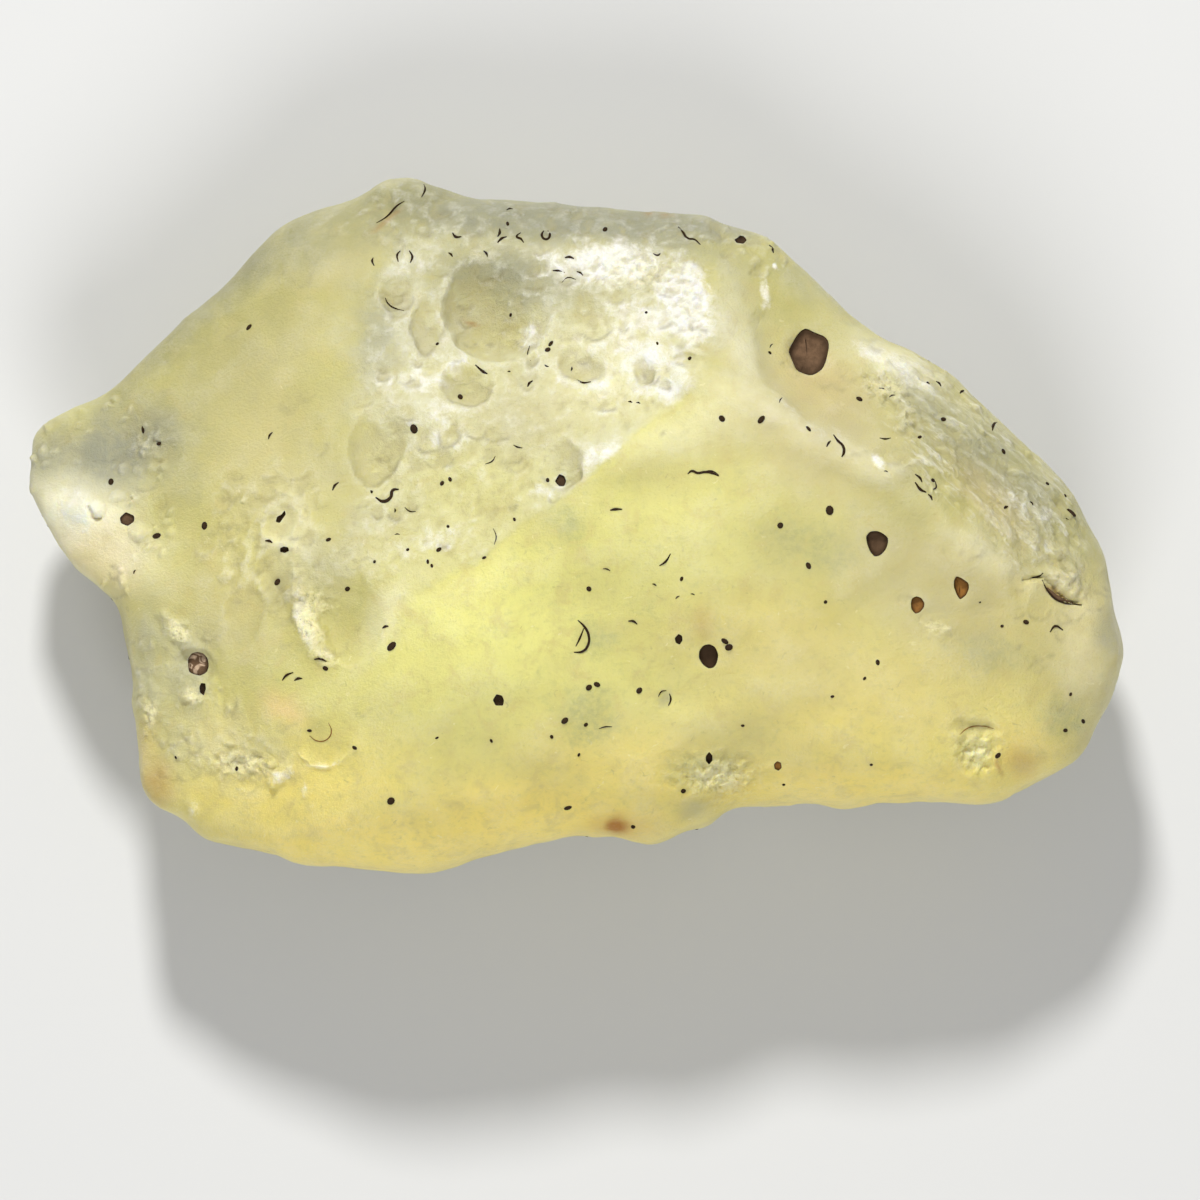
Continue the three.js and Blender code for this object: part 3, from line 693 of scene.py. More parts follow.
def rounded(corners, count=OUTLINE_CORNERS):
    """Evenly spaced points along an outline, with its corners a little rounded."""
    closed = np.array(corners + corners[:1], float)
    length = np.concatenate([[0], np.cumsum(np.hypot(*np.diff(closed, axis=0).T))])
    spots = np.arange(count) / count * length[-1]
    even = np.stack([np.interp(spots, length, closed[:, axis]) for axis in (0, 1)], 1)
    return (even * 2 + np.roll(even, 1, axis=0) + np.roll(even, -1, axis=0)) / 4 * MOUTH_SCALE


def face_on(seat, outline, raised):
    """A filled circle, with its corners moved onto an outline on the lump."""
    bpy.ops.object.select_all(action="DESELECT")
    bpy.ops.mesh.primitive_circle_add(vertices=len(outline), radius=MM, fill_type="NGON")
    piece = bpy.context.active_object
    for corner, (right, up) in zip(piece.data.vertices, outline):
        corner.co = seat.on(right, up, raised)
    return piece


def close_up(piece):
    """Turns all faces outwards and leaves edit mode."""
    bpy.ops.mesh.select_all(action="SELECT")
    bpy.ops.mesh.normals_make_consistent(inside=False)
    bpy.ops.object.mode_set(mode="OBJECT")
    return piece


# %% [markdown]
# Pits go on round the sides and the back, where the photograph can't show them. They are fewer there, with
# the same kind of mouth.


# %% Invent the pits that don't show
def uneven_oval(half, corners=9):
    """The outline of a mouth, whose corners are each a little nearer or further out."""
    turn = dice.uniform(0, math.pi)
    points = []
    for corner in range(corners):
        angle = -2 * math.pi * corner / corners
        reach = dice.uniform(0.82, 1.08)
        x, y = half[0] * reach * math.cos(angle), half[1] * reach * math.sin(angle)
        points.append((x * math.cos(turn) - y * math.sin(turn), x * math.sin(turn) + y * math.cos(turn)))
    return points


SIDE_PITS = 12
PITS_APART = 3
HIDDEN_FACING, HIDDEN_HEIGHT = -0.1, 1.2
hidden = np.flatnonzero((facings[:, 2] < HIDDEN_FACING) & (places[:, 2] > HIDDEN_HEIGHT))
side_pits = []
while len(side_pits) < SIDE_PITS:
    spot = hidden[dice.randrange(len(hidden))]
    if all(np.linalg.norm(places[spot] - pit["at"]) > PITS_APART for pit in side_pits):
        wide = dice.uniform(0.3, 0.75)
        side_pits.append(dict(
            at=tuple(places[spot]), out=tuple(facings[spot]), deep=0.7 * wide + 0.1, sink=0.12,
            tone=dice.uniform(0, 0.9), mouth=uneven_oval((wide, wide * dice.uniform(0.7, 1))),
        ))

# %% Cut all pits
OVERCUT = 0.3
PIT_TAPER = 0.8


def pit_cutter(pit):
    seat = Seat(pit["at"], pit.get("out", (0, 0, 1)))
    piece = face_on(seat, rounded(pit["mouth"]), OVERCUT)
    inward = -seat.out * (OVERCUT + pit["deep"]) * MM
    bpy.ops.object.mode_set(mode="EDIT")
    bpy.ops.mesh.select_all(action="SELECT")
    bpy.ops.mesh.extrude_region_move(TRANSFORM_OT_translate={"value": inward})
    bpy.ops.transform.resize(value=(PIT_TAPER,) * 3, center_override=seat.on(0, 0, -pit["deep"]))
    return close_up(piece)


all_pits = PITS + side_pits
cutters = join([pit_cutter(pit) for pit in all_pits], "pit_cutters")
apply_modifier(lump, "BOOLEAN", operation="DIFFERENCE", solver="MANIFOLD", object=cutters)
bpy.data.objects.remove(cutters)
print("pits cut:", len(all_pits), "and the lump has", triangle_count(lump), "triangles")

# %% [markdown]
# ## Clay in the pits
# Brown desert clay has dried in the pits. It lines the wall up to the rim, and its middle has shrunk a
# little below the surface. It darkens towards the rim, partly as darker dirt and partly as painted shade of
# the pit
# wall. The same filled circle makes it: extruded into the glass for its body, then inset three times on top,
# each inset a little lower.

# %% Fill the pits
CLAY_FIT = 1.01
BELOW_RIM, ABOVE_FLOOR = 0.03, 0.1
# How far in from the rim the clay darkens: partly dirt, partly painted shade of the pit wall.
DARK_RIM = 0.24
CLAY_LINING = [(0.05, -0.7), (0.06, -0.8), (0.1, -0.3)]


def clay_plug(pit):
    """A plug that fits a pit. Its rim is just below the glass, and its middle is sunk."""
    seat = Seat(pit["at"], pit.get("out", (0, 0, 1)))
    narrowed = 1 - (1 - PIT_TAPER) * OVERCUT / (OVERCUT + pit["deep"])
    outline = rounded(pit["mouth"]) * narrowed * CLAY_FIT
    piece = face_on(seat, outline, -BELOW_RIM)
    inward = -seat.out * (pit["deep"] - ABOVE_FLOOR) * MM
    bpy.ops.object.mode_set(mode="EDIT")
    bpy.ops.mesh.select_all(action="SELECT")
    bpy.ops.mesh.extrude_region_move(TRANSFORM_OT_translate={"value": inward})
    floor_point = seat.on(0, 0, ABOVE_FLOOR - BELOW_RIM - pit["deep"])
    bpy.ops.transform.resize(value=(PIT_TAPER,) * 3, center_override=floor_point)
    bpy.ops.mesh.select_mode(type="FACE")
    close_up(piece)
    top = max(piece.data.polygons, key=lambda face: (len(face.vertices), face.center.dot(seat.out))).index
    for face in piece.data.polygons:
        face.select = face.index == top
    width = min(np.ptp(outline, axis=0))
    bpy.ops.object.mode_set(mode="EDIT")
    for inset, drop in CLAY_LINING:
        sink = drop * pit["sink"] * MM
        bpy.ops.mesh.inset(thickness=inset * width * MM, depth=sink, use_even_offset=False)
    bpy.ops.mesh.poke()
    close_up(piece)
    points, _ = read_skin(piece)
    offset = points - np.array(seat.at) / MM
    across = np.stack([offset @ seat.right, offset @ seat.up], 1)
    inner = distance_inside(across, outline)
    store(piece, "edge", 1 - soft_step(0, DARK_RIM * width, inner))
    store(piece, "tone", np.full(len(points), pit["tone"]))
    return piece


def store(piece, name, values):
    """Keeps a value for each point of a piece, which its material can read by name."""
    attribute = piece.data.attributes.get(name) or piece.data.attributes.new(name, "FLOAT", "POINT")
    attribute.data.foreach_set("value", np.asarray(values, np.float32))


clay = join([clay_plug(pit) for pit in all_pits], "pit_clay")
print("clay:", triangle_count(clay), "triangles")

# %% [markdown]
# ## Dark specks
# Most marks on the glass are smaller: pinholes filled with dark dirt, under 0.4 mm wide. They are too small
# to need a hole of their own. One flattened ball is modelled, then copied to each place, pressed into the
# surface.

# %% Specks that show, as x, y and half width
SPECKS = [
    (-16.3, 9.9, 0.11), (-21.6, 4.8, 0.11), (-20.8, 4.1, 0.1), (-23.2, 2.2, 0.13), (-20.9, -0.5, 0.14),
    (-18.5, 0, 0.15), (-14.85, -2.8, 0.14), (-12.3, -0.7, 0.09), (-11.35, -3.15, 0.11),
    (-9.15, -6, 0.17), (-12.45, -7.1, 0.11), (-9.2, -13.7, 0.17), (-11, -11.05, 0.09),
    (-19.95, -11.55, 0.08), (-16.9, -12.1, 0.08), (-13.25, -10.2, 0.08), (-8.05, 4.8, 0.18),
    (-6.65, 2.1, 0.1), (-6.25, 2.3, 0.09), (-1.4, 2.25, 0.09), (-3.05, 0.3, 0.07),
    (-6.35, -0.05, 0.07), (-6.8, -1.2, 0.1), (-7.35, -1.8, 0.07), (-7.15, -2, 0.07),
    (-8.35, -1.2, 0.07), (-10, -1.8, 0.07), (-4.55, -1.6, 0.07), (0.65, -3.15, 0.11),
    (0.65, -8.05, 0.13), (1.05, -7.9, 0.12), (3.15, -8.2, 0.13), (-0.55, -9.7, 0.14),
    (0.5, -9.9, 0.09), (-1.2, -10.5, 0.08), (0.15, -11.4, 0.07), (-4.2, -10.7, 0.07),
    (-6.9, -10.55, 0.06), (-0.4, -14.05, 0.13), (2.85, -15, 0.11), (5.35, -13.2, 0.12),
    (8.3, -9.95, 0.07), (5.25, -2.65, 0.08), (11.55, -2, 0.12), (12.4, -3.8, 0.08), (15, -6.8, 0.1),
    (14.35, -7.6, 0.07), (12.75, -8.5, 0.07), (10.35, -12.9, 0.07), (14.7, -11.9, 0.07),
    (22.4, -4.8, 0.11), (21.2, -5, 0.07), (24.4, -10.2, 0.1), (24.65, -8.4, 0.08), (25.3, -9.75, 0.1),
    (24.7, 0.65, 0.17), (23.5, 2.1, 0.09), (24.4, 1.5, 0.08), (21.3, 3.7, 0.12), (18.3, 5.3, 0.12),
    (17.1, 4.4, 0.08), (14.1, 6.3, 0.12), (17.55, 7.1, 0.09), (17.75, 2.25, 0.09), (11.55, 4.8, 0.1),
    (7.25, 5.3, 0.13), (9.2, 5.25, 0.14), (10.15, 0, 0.13), (-1.25, 9.05, 0.1), (-1.4, 8.75, 0.11),
    (-5.75, 6.4, 0.12), (1.45, 14.75, 0.12), (-3.4, 15.05, 0.08), (5.65, 8.3, 0.09),
    (-3.25, 10.5, 0.07), (9.65, 8.6, 0.08), (3.5, 10.6, 0.06), (4.05, 9.05, 0.06), (-6.9, 9.05, 0.08),
    (7.6, -6.05, 0.16), (7.4, -5.75, 0.13), (12.6, 0.75, 0.18), (21.02, -11.45, 0.12),
]
HIDDEN_SPECKS = 110
SPECK_FLATNESS = 0.5
MARK_SCALE = 1.2

# %% Model one speck and copy it
bpy.ops.object.select_all(action="DESELECT")
bpy.ops.mesh.primitive_ico_sphere_add(subdivisions=2, radius=1)
first_speck = bpy.context.active_object


def speck_at(point, out, half_width, tone):
    """A copy of the speck, pressed into the surface, a little longer than wide."""
    copy = bpy.data.objects.new("speck", first_speck.data.copy())
    bpy.context.scene.collection.objects.link(copy)
    turn = Matrix.Rotation(dice.uniform(0, math.pi), 4, "Z")
    longer = dice.uniform(1, 1.5)
    half = half_width * MM
    size = Matrix.Diagonal((half * longer, half / longer**0.5, half * SPECK_FLATNESS, 1))
    facing = Vector(out).to_track_quat("Z", "Y").to_matrix().to_4x4()
    copy.data.transform(Matrix.Translation(point) @ facing @ turn @ size)
    store(copy, "edge", np.ones(len(copy.data.vertices)))
    store(copy, "tone", np.full(len(copy.data.vertices), tone))
    return copy


speck_copies = []
for x, y, half_width in SPECKS:
    point = Seat((x, y)).on(0, 0)
    out = GLASS_SKIN.find_nearest(point)[1]
    speck_copies.append(speck_at(point, out, half_width * MARK_SCALE, dice.uniform(0, 0.2)))
for _ in range(HIDDEN_SPECKS):
    spot = hidden[dice.randrange(len(hidden))]
    point = Vector(places[spot]) * MM
    half_width = dice.uniform(0.06, 0.17)
    speck_copies.append(speck_at(point, facings[spot], half_width, dice.uniform(0, 0.3)))
bpy.data.objects.remove(first_speck)
specks = join(speck_copies, "dark_specks")
print("specks:", triangle_count(specks), "triangles")

# %% [markdown]
# ## Crescent cracks
# A knock on glass leaves a crescent-shaped crack, and dirt in it shows as a fine dark arc. Each is drawn as
# a curve through a few points on the surface, thick in its middle and thin at its ends, and turned into a
# mesh. Nearly all are black. A few have a tone of their own, as clay has, and are lighter.

# %% Cracks that show, each as its width, or its width and tone, and the points that it runs through
CRACKS = [
    # the top edge and the crest
    (0.11, (5.1, 14.9), (5.35, 14.6), (5.6, 14.3), (5.9, 14.25), (6.2, 14)),
    (0.1, (-10.1, 13.35), (-10.15, 13.2), (-10.05, 12.95)),
    (0.1, (-8.75, 13.7), (-8.9, 13.5), (-8.85, 13.15)),
    (0.11, (-8.3, 13.7), (-8.15, 13.4), (-8.25, 13.1)), (0.12, (-6.15, 14.6), (-6, 14.4), (-5.7, 14.4)),
    (0.1, (-6.35, 13.6), (-6.15, 13.4)), (0.12, (-3.8, 14.8), (-3.9, 14.4)),
    (0.12, (-3.9, 14.1), (-3.45, 14.4)), (0.1, (-2.75, 14.6), (-2.95, 14.4), (-2.75, 14.3), (-2.6, 14.1)),
    (0.11, (-1.6, 14.7), (-1.7, 14.5), (-1.6, 14.3), (-1.4, 14.3), (-1.3, 14.5), (-1.4, 14.7)),
    (0.1, (-3.45, 15.75), (-3.15, 15.8)), (0.1, (-7.6, 17.05), (-7.55, 16.7), (-7.7, 16.4)),
    (0.08, (-9.95, 15.1), (-9.45, 15.4), (-8.95, 15.95), (-8.55, 16.2)),
    (0.1, (-4.6, 13.7), (-4.4, 13.4)), (0.11, (9.65, 14), (9.8, 13.8), (9.85, 13.6)),
    # the frosted face
    (0.12, (-0.55, 13.35), (-0.1, 13.3)), (0.09, (-1.15, 12.7), (-0.9, 12.7), (-0.55, 12.6)),
    (0.09, (0.05, 12.65), (0.35, 12.45)), (0.06, (-0.7, 12.1), (-0.4, 12.35), (0, 12.25)),
    (0.1, (3.85, 13.55), (4.05, 13.45), (4.2, 13.55)),
    (0.07, (-9.5, 11.35), (-9.35, 11.05), (-8.95, 10.8), (-8.55, 10.7)),
    (0.06, (-2.3, 8.95), (-2.4, 8.55), (-2.25, 8.2)), (0.08, (-1.35, 7.9), (-1.55, 8)),
    (0.12, (-5, 8), (-4.6, 7.65), (-4.4, 7.55)), (0.08, (-3.4, 7.65), (-3.25, 7.65)),
    (0.12, (-2.4, 6.9), (-2.15, 7.2)), (0.09, (0.05, 7.25), (0.35, 7.1), (0.75, 7.15)),
    (0.08, (-0.2, 7.9), (-0.25, 7.7)), (0.09, (2.6, 6.15), (2.8, 6.1)), (0.08, (3, 6.1), (3.2, 6.05)),
    (0.07, (-3.1, 4), (-2.9, 3.9), (-2.65, 3.85)), (0.06, (-4.5, 3.05), (-4.15, 3.2), (-4, 3.45)),
    (0.11, (-12.1, 1.75), (-11.8, 2.15)), (0.12, (-10.2, 1.75), (-10.15, 1.6)),
    (0.15, (-9.95, 1.4), (-9.6, 1.2), (-9.2, 1.4), (-9.1, 1.75), (-8.8, 1.8)),
    (0.07, (-8.5, 0.9), (-8.25, 0.7), (-7.95, 0.7)), (0.08, (-9, 0.85), (-9, 0.65)),
    (0.05, (-4.1, -0.15), (-3.95, -0.55), (-4.05, -0.95)), (0.06, (-9, -0.45), (-8.75, -0.45)),
    # the smooth broad face
    (0.12, (1.7, 0.75), (1.95, 0.8), (2.3, 0.8)),
    (0.1, (5.55, 2.55), (5.75, 2.7), (6.05, 2.6), (6.4, 2.65), (6.75, 2.6), (7.1, 2.45)),
    (0.06, (6.25, 2.65), (6.75, 2.7), (7.1, 2.5)), (0.06, (9.65, 8.85), (9.8, 9.05)),
    (0.06, (10.1, 6.1), (10.25, 6.35)),
    (0.13, (12.8, 4.5), (13, 4.2), (13.25, 3.95), (13.3, 3.6), (13.2, 3.4)),
    (0.1, (12.45, 3.9), (12.55, 4.1), (12.65, 4.2)), (0.1, (4.15, -2), (4.45, -1.8), (4.7, -1.4)),
    (0.07, (1.35, -2.15), (1.7, -2.25)),
    (0.11, (0.1, -4.7), (0.45, -5.05), (0.65, -5.5), (0.6, -5.95), (0.35, -6.25), (-0.1, -6.3)),
    (0.09, (0.4, -5.1), (0.2, -5.6), (0, -6)), (0.11, (2.6, -4.75), (2.85, -4.75), (3.05, -4.9)),
    (0.08, (3.8, -2.9), (4, -3)), (0.06, (4.95, -3.65), (5.15, -3.5)), (0.06, (5.7, -3.4), (5.9, -3.45)),
    (0.07, (1.15, -10.1), (1.45, -10), (1.8, -10)), (0.07, (4.1, -8.5), (4.25, -8.25), (4.5, -8.2)),
    (0.09, (4.65, -8.35), (4.72, -8.65), (4.6, -8.95)),
    # the rippled slope and the nose
    (0.09, (15.1, 4.35), (15.35, 4.3), (15.65, 4.35)), (0.07, (15.1, 6.85), (15.45, 6.7)),
    (0.07, (15.6, 6.4), (15.9, 6.5)), (0.12, (16.85, 2.55), (17.1, 2.35), (17.2, 2.15)),
    (0.14, (16.85, 2.15), (17.1, 1.8), (17.4, 1.65)), (0.11, (17.5, 1.55), (17.7, 1.25)),
    (0.08, (17.85, 2.2), (17.9, 1.9), (17.75, 1.8)), (0.13, (20.75, 4.75), (20.8, 5), (21, 5.15)),
    (0.12, (19.15, 6.6), (19.35, 6.75)), (0.1, (17.95, 7.2), (18.2, 6.95)),
    (0.13, (21.3, 0.85), (21.5, 0.95)), (0.1, (22.6, 1.2), (22.75, 1)), (0.06, (15.3, 2.7), (15.5, 2.65)),
    (0.12, (22.7, -2.6), (23.05, -2.5), (23.25, -2.35)),
    (0.1, (23.2, -2.7), (23.45, -3.2), (24.05, -3.75), (25.2, -3.95)),
    ((0.2, 0.5), (23.45, -3.1), (24.0, -3.6), (24.75, -3.85)),
    (0.12, (23.6, -5.3), (23.85, -5), (24.25, -5.2)), (0.06, (24.3, 0.35), (24.55, 0.3)),
    (0.08, (20.05, -3.85), (20.15, -3.8)),
    # the left side
    (0.12, (-15.45, -0.75), (-15.1, -0.85)), (0.08, (-22.05, -2.4), (-21.95, -2.2)),
    (0.11, (-14.6, -7.7), (-14.4, -7.45), (-14.05, -7.3)), (0.11, (-14, -7.7), (-13.6, -7.6)),
    (0.1, (-15.3, 4.3), (-15.1, 4.65)), (0.11, (-13, -6.65), (-12.4, -6.75)),
    ((0.05, 1), (-12.3, -9.8), (-12.15, -10.2), (-12.4, -10.65), (-12.9, -10.7), (-13.25, -10.45)),
    ((0.04, 1), (19.1, -10.4), (19.5, -10.08), (20.15, -9.97), (20.8, -10.1)),
    (0.12, (-9.6, -5.1), (-9.3, -5)),
]
CRACK_STEPS = 4
CRACK_TIP = 0.4
CRACK_BEND = 0.12
HIDDEN_CRACKS = 36


# %% Draw a crack
def crack_along(points, width, tone=None):
    """A tapered tube through surface points. Half of it is in the glass, and half shows."""
    curve = bpy.data.curves.new("crack", "CURVE")
    curve.dimensions = "3D"
    curve.resolution_u = CRACK_STEPS
    curve.bevel_depth = width / 2 * MM
    curve.bevel_resolution = 1
    curve.use_fill_caps = True
    line = curve.splines.new("BEZIER")
    line.bezier_points.add(len(points) - 1)
    for number, (knot, place) in enumerate(zip(line.bezier_points, points)):
        knot.co = place
        knot.handle_left_type = knot.handle_right_type = "AUTO"
        ends = number in (0, len(points) - 1)
        knot.radius = CRACK_TIP if ends else 1
    piece = bpy.data.objects.new("crack", curve)
    bpy.context.scene.collection.objects.link(piece)
    select_only(piece)
    bpy.ops.object.convert(target="MESH")
    store(piece, "edge", np.full(len(piece.data.vertices), 1 if tone is None else 0))
    store(piece, "tone", np.full(len(piece.data.vertices), tone or dice.uniform(0, 0.15)))
    return piece


def with_middle(points):
    """A crack of two points gets a middle, so that it is thick there."""
    if len(points) > 2:
        return points
    (x0, y0), (x1, y1) = points
    middle = ((x0 + x1) / 2 - CRACK_BEND * (y1 - y0), (y0 + y1) / 2 + CRACK_BEND * (x1 - x0))
    return [points[0], middle, points[1]]


crack_tubes = []
for size, *points in CRACKS:
    width, *tone = size if isinstance(size, tuple) else (size,)
    on_glass = [Seat(point).on(0, 0) for point in with_middle(points)]
    crack_tubes.append(crack_along(on_glass, width * MARK_SCALE, *tone))
for _ in range(HIDDEN_CRACKS):
    spot = hidden[dice.randrange(len(hidden))]
    seat = Seat(places[spot], facings[spot])
    turn, reach, width = dice.uniform(0, math.tau), dice.uniform(0.15, 0.5), dice.uniform(0.07, 0.13)
    arc = [(reach * math.cos(turn + step), reach * math.sin(turn + step)) for step in (0, 0.5, 1.0)]
    crack_tubes.append(crack_along([seat.on(*point) for point in arc], width))
cracks = join(crack_tubes, "crack_dirt")
print("cracks:", triangle_count(cracks), "triangles")


# %% [markdown]
# ## Where the colour changes
# The glass is yellow all through, but clouds of tiny bubbles, frosting and stains change it from place to
# place. Some tints are painted light and shade as well: painted shade on the crest, the top band and in
# hollows, and painted highlights on ridges, rims and glints. Each kind of change gets a mask on the lump's
# points: soft ovals on the upper side, and noise on the rest. An oval is given as the crusts are: its place,
# its half widths, its strength, and maybe its turn.

# %% Read the finished skin
places, facings = read_skin(lump)
plan = places[:, :2]
uneven = wobbled(plan)
upper = soft_step(-0.1, 0.25, facings[:, 2])
UPPER_SIDE, OVER_THE_EDGE = -0.05, -0.35
EDGE_FADE = 0.45


# %% Masks from soft ovals, and along the rims of scoops
def soft_ovals(ovals, lowest=UPPER_SIDE):
    """Ovals seen from above. They fade out where the skin's facing goes down to the lowest given."""
    return oval_mask(uneven, ovals) * soft_step(lowest, lowest + EDGE_FADE, facings[:, 2])


def rims(scoops, share, width):
    """1 along the rim of each scoop, on its side with lower y, fading within a width in millimetres.

    The line is drawn at a share of the scoop's reach, so that more than 1 is outside it.
    """
    mask = np.zeros(len(places))
    for scoop in scoops:
        offset = uneven - scoop["at"]
        reach = np.hypot(*in_oval(offset, (0, 0), scoop["half"], scoop["turn"]).T)
        gap = (reach - share) * min(scoop["half"])
        below = soft_step(0, 0.8, -offset[:, 1] / np.maximum(np.hypot(*offset.T), NEVER_ZERO))
        mask = np.maximum(mask, np.exp(-((gap / width) ** 2)) * below)
    return mask


# %% Ovals of brighter, warmer, duller and darker glass, partly painted light and painted shade
BRIGHT = [
    (-4, -5, 8, 4.5, 1, 25), (4, -1, 9, 3.8, 0.75, 15), (-11, -11.5, 8, 5, 0.55, 5),
    (17, -11, 5, 2.5, 0.6), (2, -8, 12, 4, 0.6), (2, 5, 6, 2.5, 0.6, 25), (14, -7.5, 6, 3.5, 0.35),
    (18.5, -9, 4, 2, 0.7, -10), (-14.5, -1, 3, 2, 0.5), (20.05, -11.3, 1.4, 1.4, 1.2),
]
# Warm yellow glass. The ovals on the nose and along the lower edge are partly painted light, lightening
# slopes that face away from the key lamp.
WARM = [
    (-2, -15, 9, 3, 1.2), (15, -10, 10, 5, 0.65), (3, -12.5, 7, 3, 0.8), (21, -4, 4, 4, 0.3),
    (-10, -16, 9, 2.5, 1.2), (10, -6, 6, 3, 0.5), (22, -11.5, 3, 2.5, 0.9, 20), (25.8, -5.5, 2, 3.5, 0.5),
    (14, -13.2, 11, 2.3, 1.1), (-13.5, -13.5, 8, 3.5, 0.8), (-17, -11, 3, 2.5, 0.6),
]
# Duller olive glass, partly painted shade: the ovals along the crest, the top edge, the upper left slope and
# the top of the big hollow darken them as shade would.
OLIVE_AND_SHADE = [
    (-17, 10, 8, 4, 1, 42), (-13, 6, 2.2, 5, 0.5, 10), (-4.4, 12.2, 3.4, 1.7, 1, -8),
    (0, 11.4, 2, 1, 0.4, -10), (9.5, 11.5, 3.5, 2, 0.5, -40), (12, 10, 2.5, 1, 0.6, -50),
    (-4, 15.4, 6, 1.4, 1, -3), (5, 14.7, 4.5, 1.2, 1, -6), (-4.1, 9.4, 1.8, 1.4, 0.3),
    (-9, 16.2, 4, 1.8, 1, 20), (-11.5, -4.7, 1.3, 1.8, 0.4, 8), (-15.5, 13.5, 3, 1.5, 1, 40),
    (12.5, 6.8, 2.6, 1.6, 0.6, -30), (-12.75, -10.15, 0.6, 0.6, 0.4), (24.5, 0.5, 2.4, 1, 0.6, -55),
    (-5.2, 6.8, 1.2, 0.7, 0.2), (-9.9, 4.1, 1.3, 1.8, 0.15, -14), (-0.6, 3.1, 0.9, 1.1, 0.3),
    (-1.5, 5.4, 4, 1.6, 0.15), (16, 1, 4, 1.2, 0.4, -38), (19.5, 3, 6.5, 2.6, 0.8, -42),
    (-16.2, -10, 1.5, 2.5, 0.4), (-18.5, 11.5, 8, 2.4, 1.6, 41), (-12.6, 14.8, 4.5, 2.2, 1.5, 25),
    (-7.5, 16.2, 4.5, 1.6, 1.6, 12), (-2.8, 4.8, 2.5, 1.8, 0.3), (2.5, -2, 4, 2, 0.2, 20),
    (-12, 0.5, 1.5, 2.5, 0.3), (-20, -9, 1.8, 4, 0.3), (19, -3.5, 4.5, 2.5, 0.25, -20),
    (10.5, -1.2, 2.5, 1.5, 0.3, -10), (-7.5, -8.5, 4, 2, 0.2, 10),
]
# Painted shade: a dark tint along the top band and the crest.
TOP_BAND_SHADE = [
    (0, 15.7, 9, 0.9, 0.7, -3), (-7.8, 16.6, 3, 1, 0.9, 5), (-15.5, 13.8, 4.5, 1, 0.7, 40),
    (-20.5, 9.3, 5, 1, 0.6, 45),
]
# Grey glass, partly painted shade: the ovals on the top band and the upper part of the big hollow darken
# them as shade would.
GREY_AND_SHADE = [
    (-22.6, 3.9, 3.6, 2.2, 1.3, 14), (0, 15.3, 10, 1.3, 1.7, -3), (-4, 12.4, 3, 1.3, 0.6, -8),
    (21, 3, 5, 1.6, 0.75, -42), (-25.4, 3.6, 2.6, 1.8, 0.9, 10), (-20.8, 3.1, 1.8, 1.6, 0.7),
    (-9.5, 14.8, 2, 1.6, 0.5), (7, 13.6, 2.4, 0.9, 0.5, -15), (-19.2, -7.4, 1.0, 1.6, 0.6),
    (19.2, 4.4, 4, 1.1, 0.7, -42), (-10, 9.9, 1.3, 2.6, 0.7), (-19.9, 2.6, 1.4, 2.2, 0.5),
    (-21.3, -6, 0.9, 2.5, 0.5), (26.5, -5.3, 0.7, 1.4, 0.7), (-16, 13, 1.6, 0.8, 0.5, 45),
    (-14.8, -3.1, 0.7, 0.9, 0.4), (5.9, -14.1, 0.8, 0.5, 0.7), (19.8, -10.1, 1.0, 0.3, 0.4),
    (4.4, -8.55, 0.3, 0.4, 0.7), (-18, 12, 7, 1.4, 0.3, 41), (-9, 16.4, 5, 1.4, 0.6, 12),
    (-13, 14.5, 3, 1.5, 0.5, 35), (-3.2, 12.6, 3.6, 1.5, 0.9, -12), (-12.5, -2.5, 1, 1.5, 0.3),
    (11, 12.5, 2.5, 1, 0.4, -40),
]
MOSS = [
    (20.6, -6.3, 2.8, 1.6, 0.9, -15), (24.2, -9.4, 1.5, 1.8, 0.9, -20), (-0.4, 0, 1.4, 2.2, 0.8, 30),
    (1, -5.5, 1.8, 1.4, 0.8), (0.5, -9.4, 2.6, 2.2, 0.9), (12, -1, 4, 1.8, 0.9, -15),
    (6.5, -12.2, 3, 1.5, 1), (17.5, -4, 3, 1, 0.6, -20), (-4, -3, 2, 1, 0.4, 20), (8, 4, 3, 1, 0.4, 20),
    (3.5, -4, 1.5, 1, 0.6), (9, -10, 2.5, 1.5, 0.6), (-4.3, -6.5, 1, 0.8, 0.4),
]
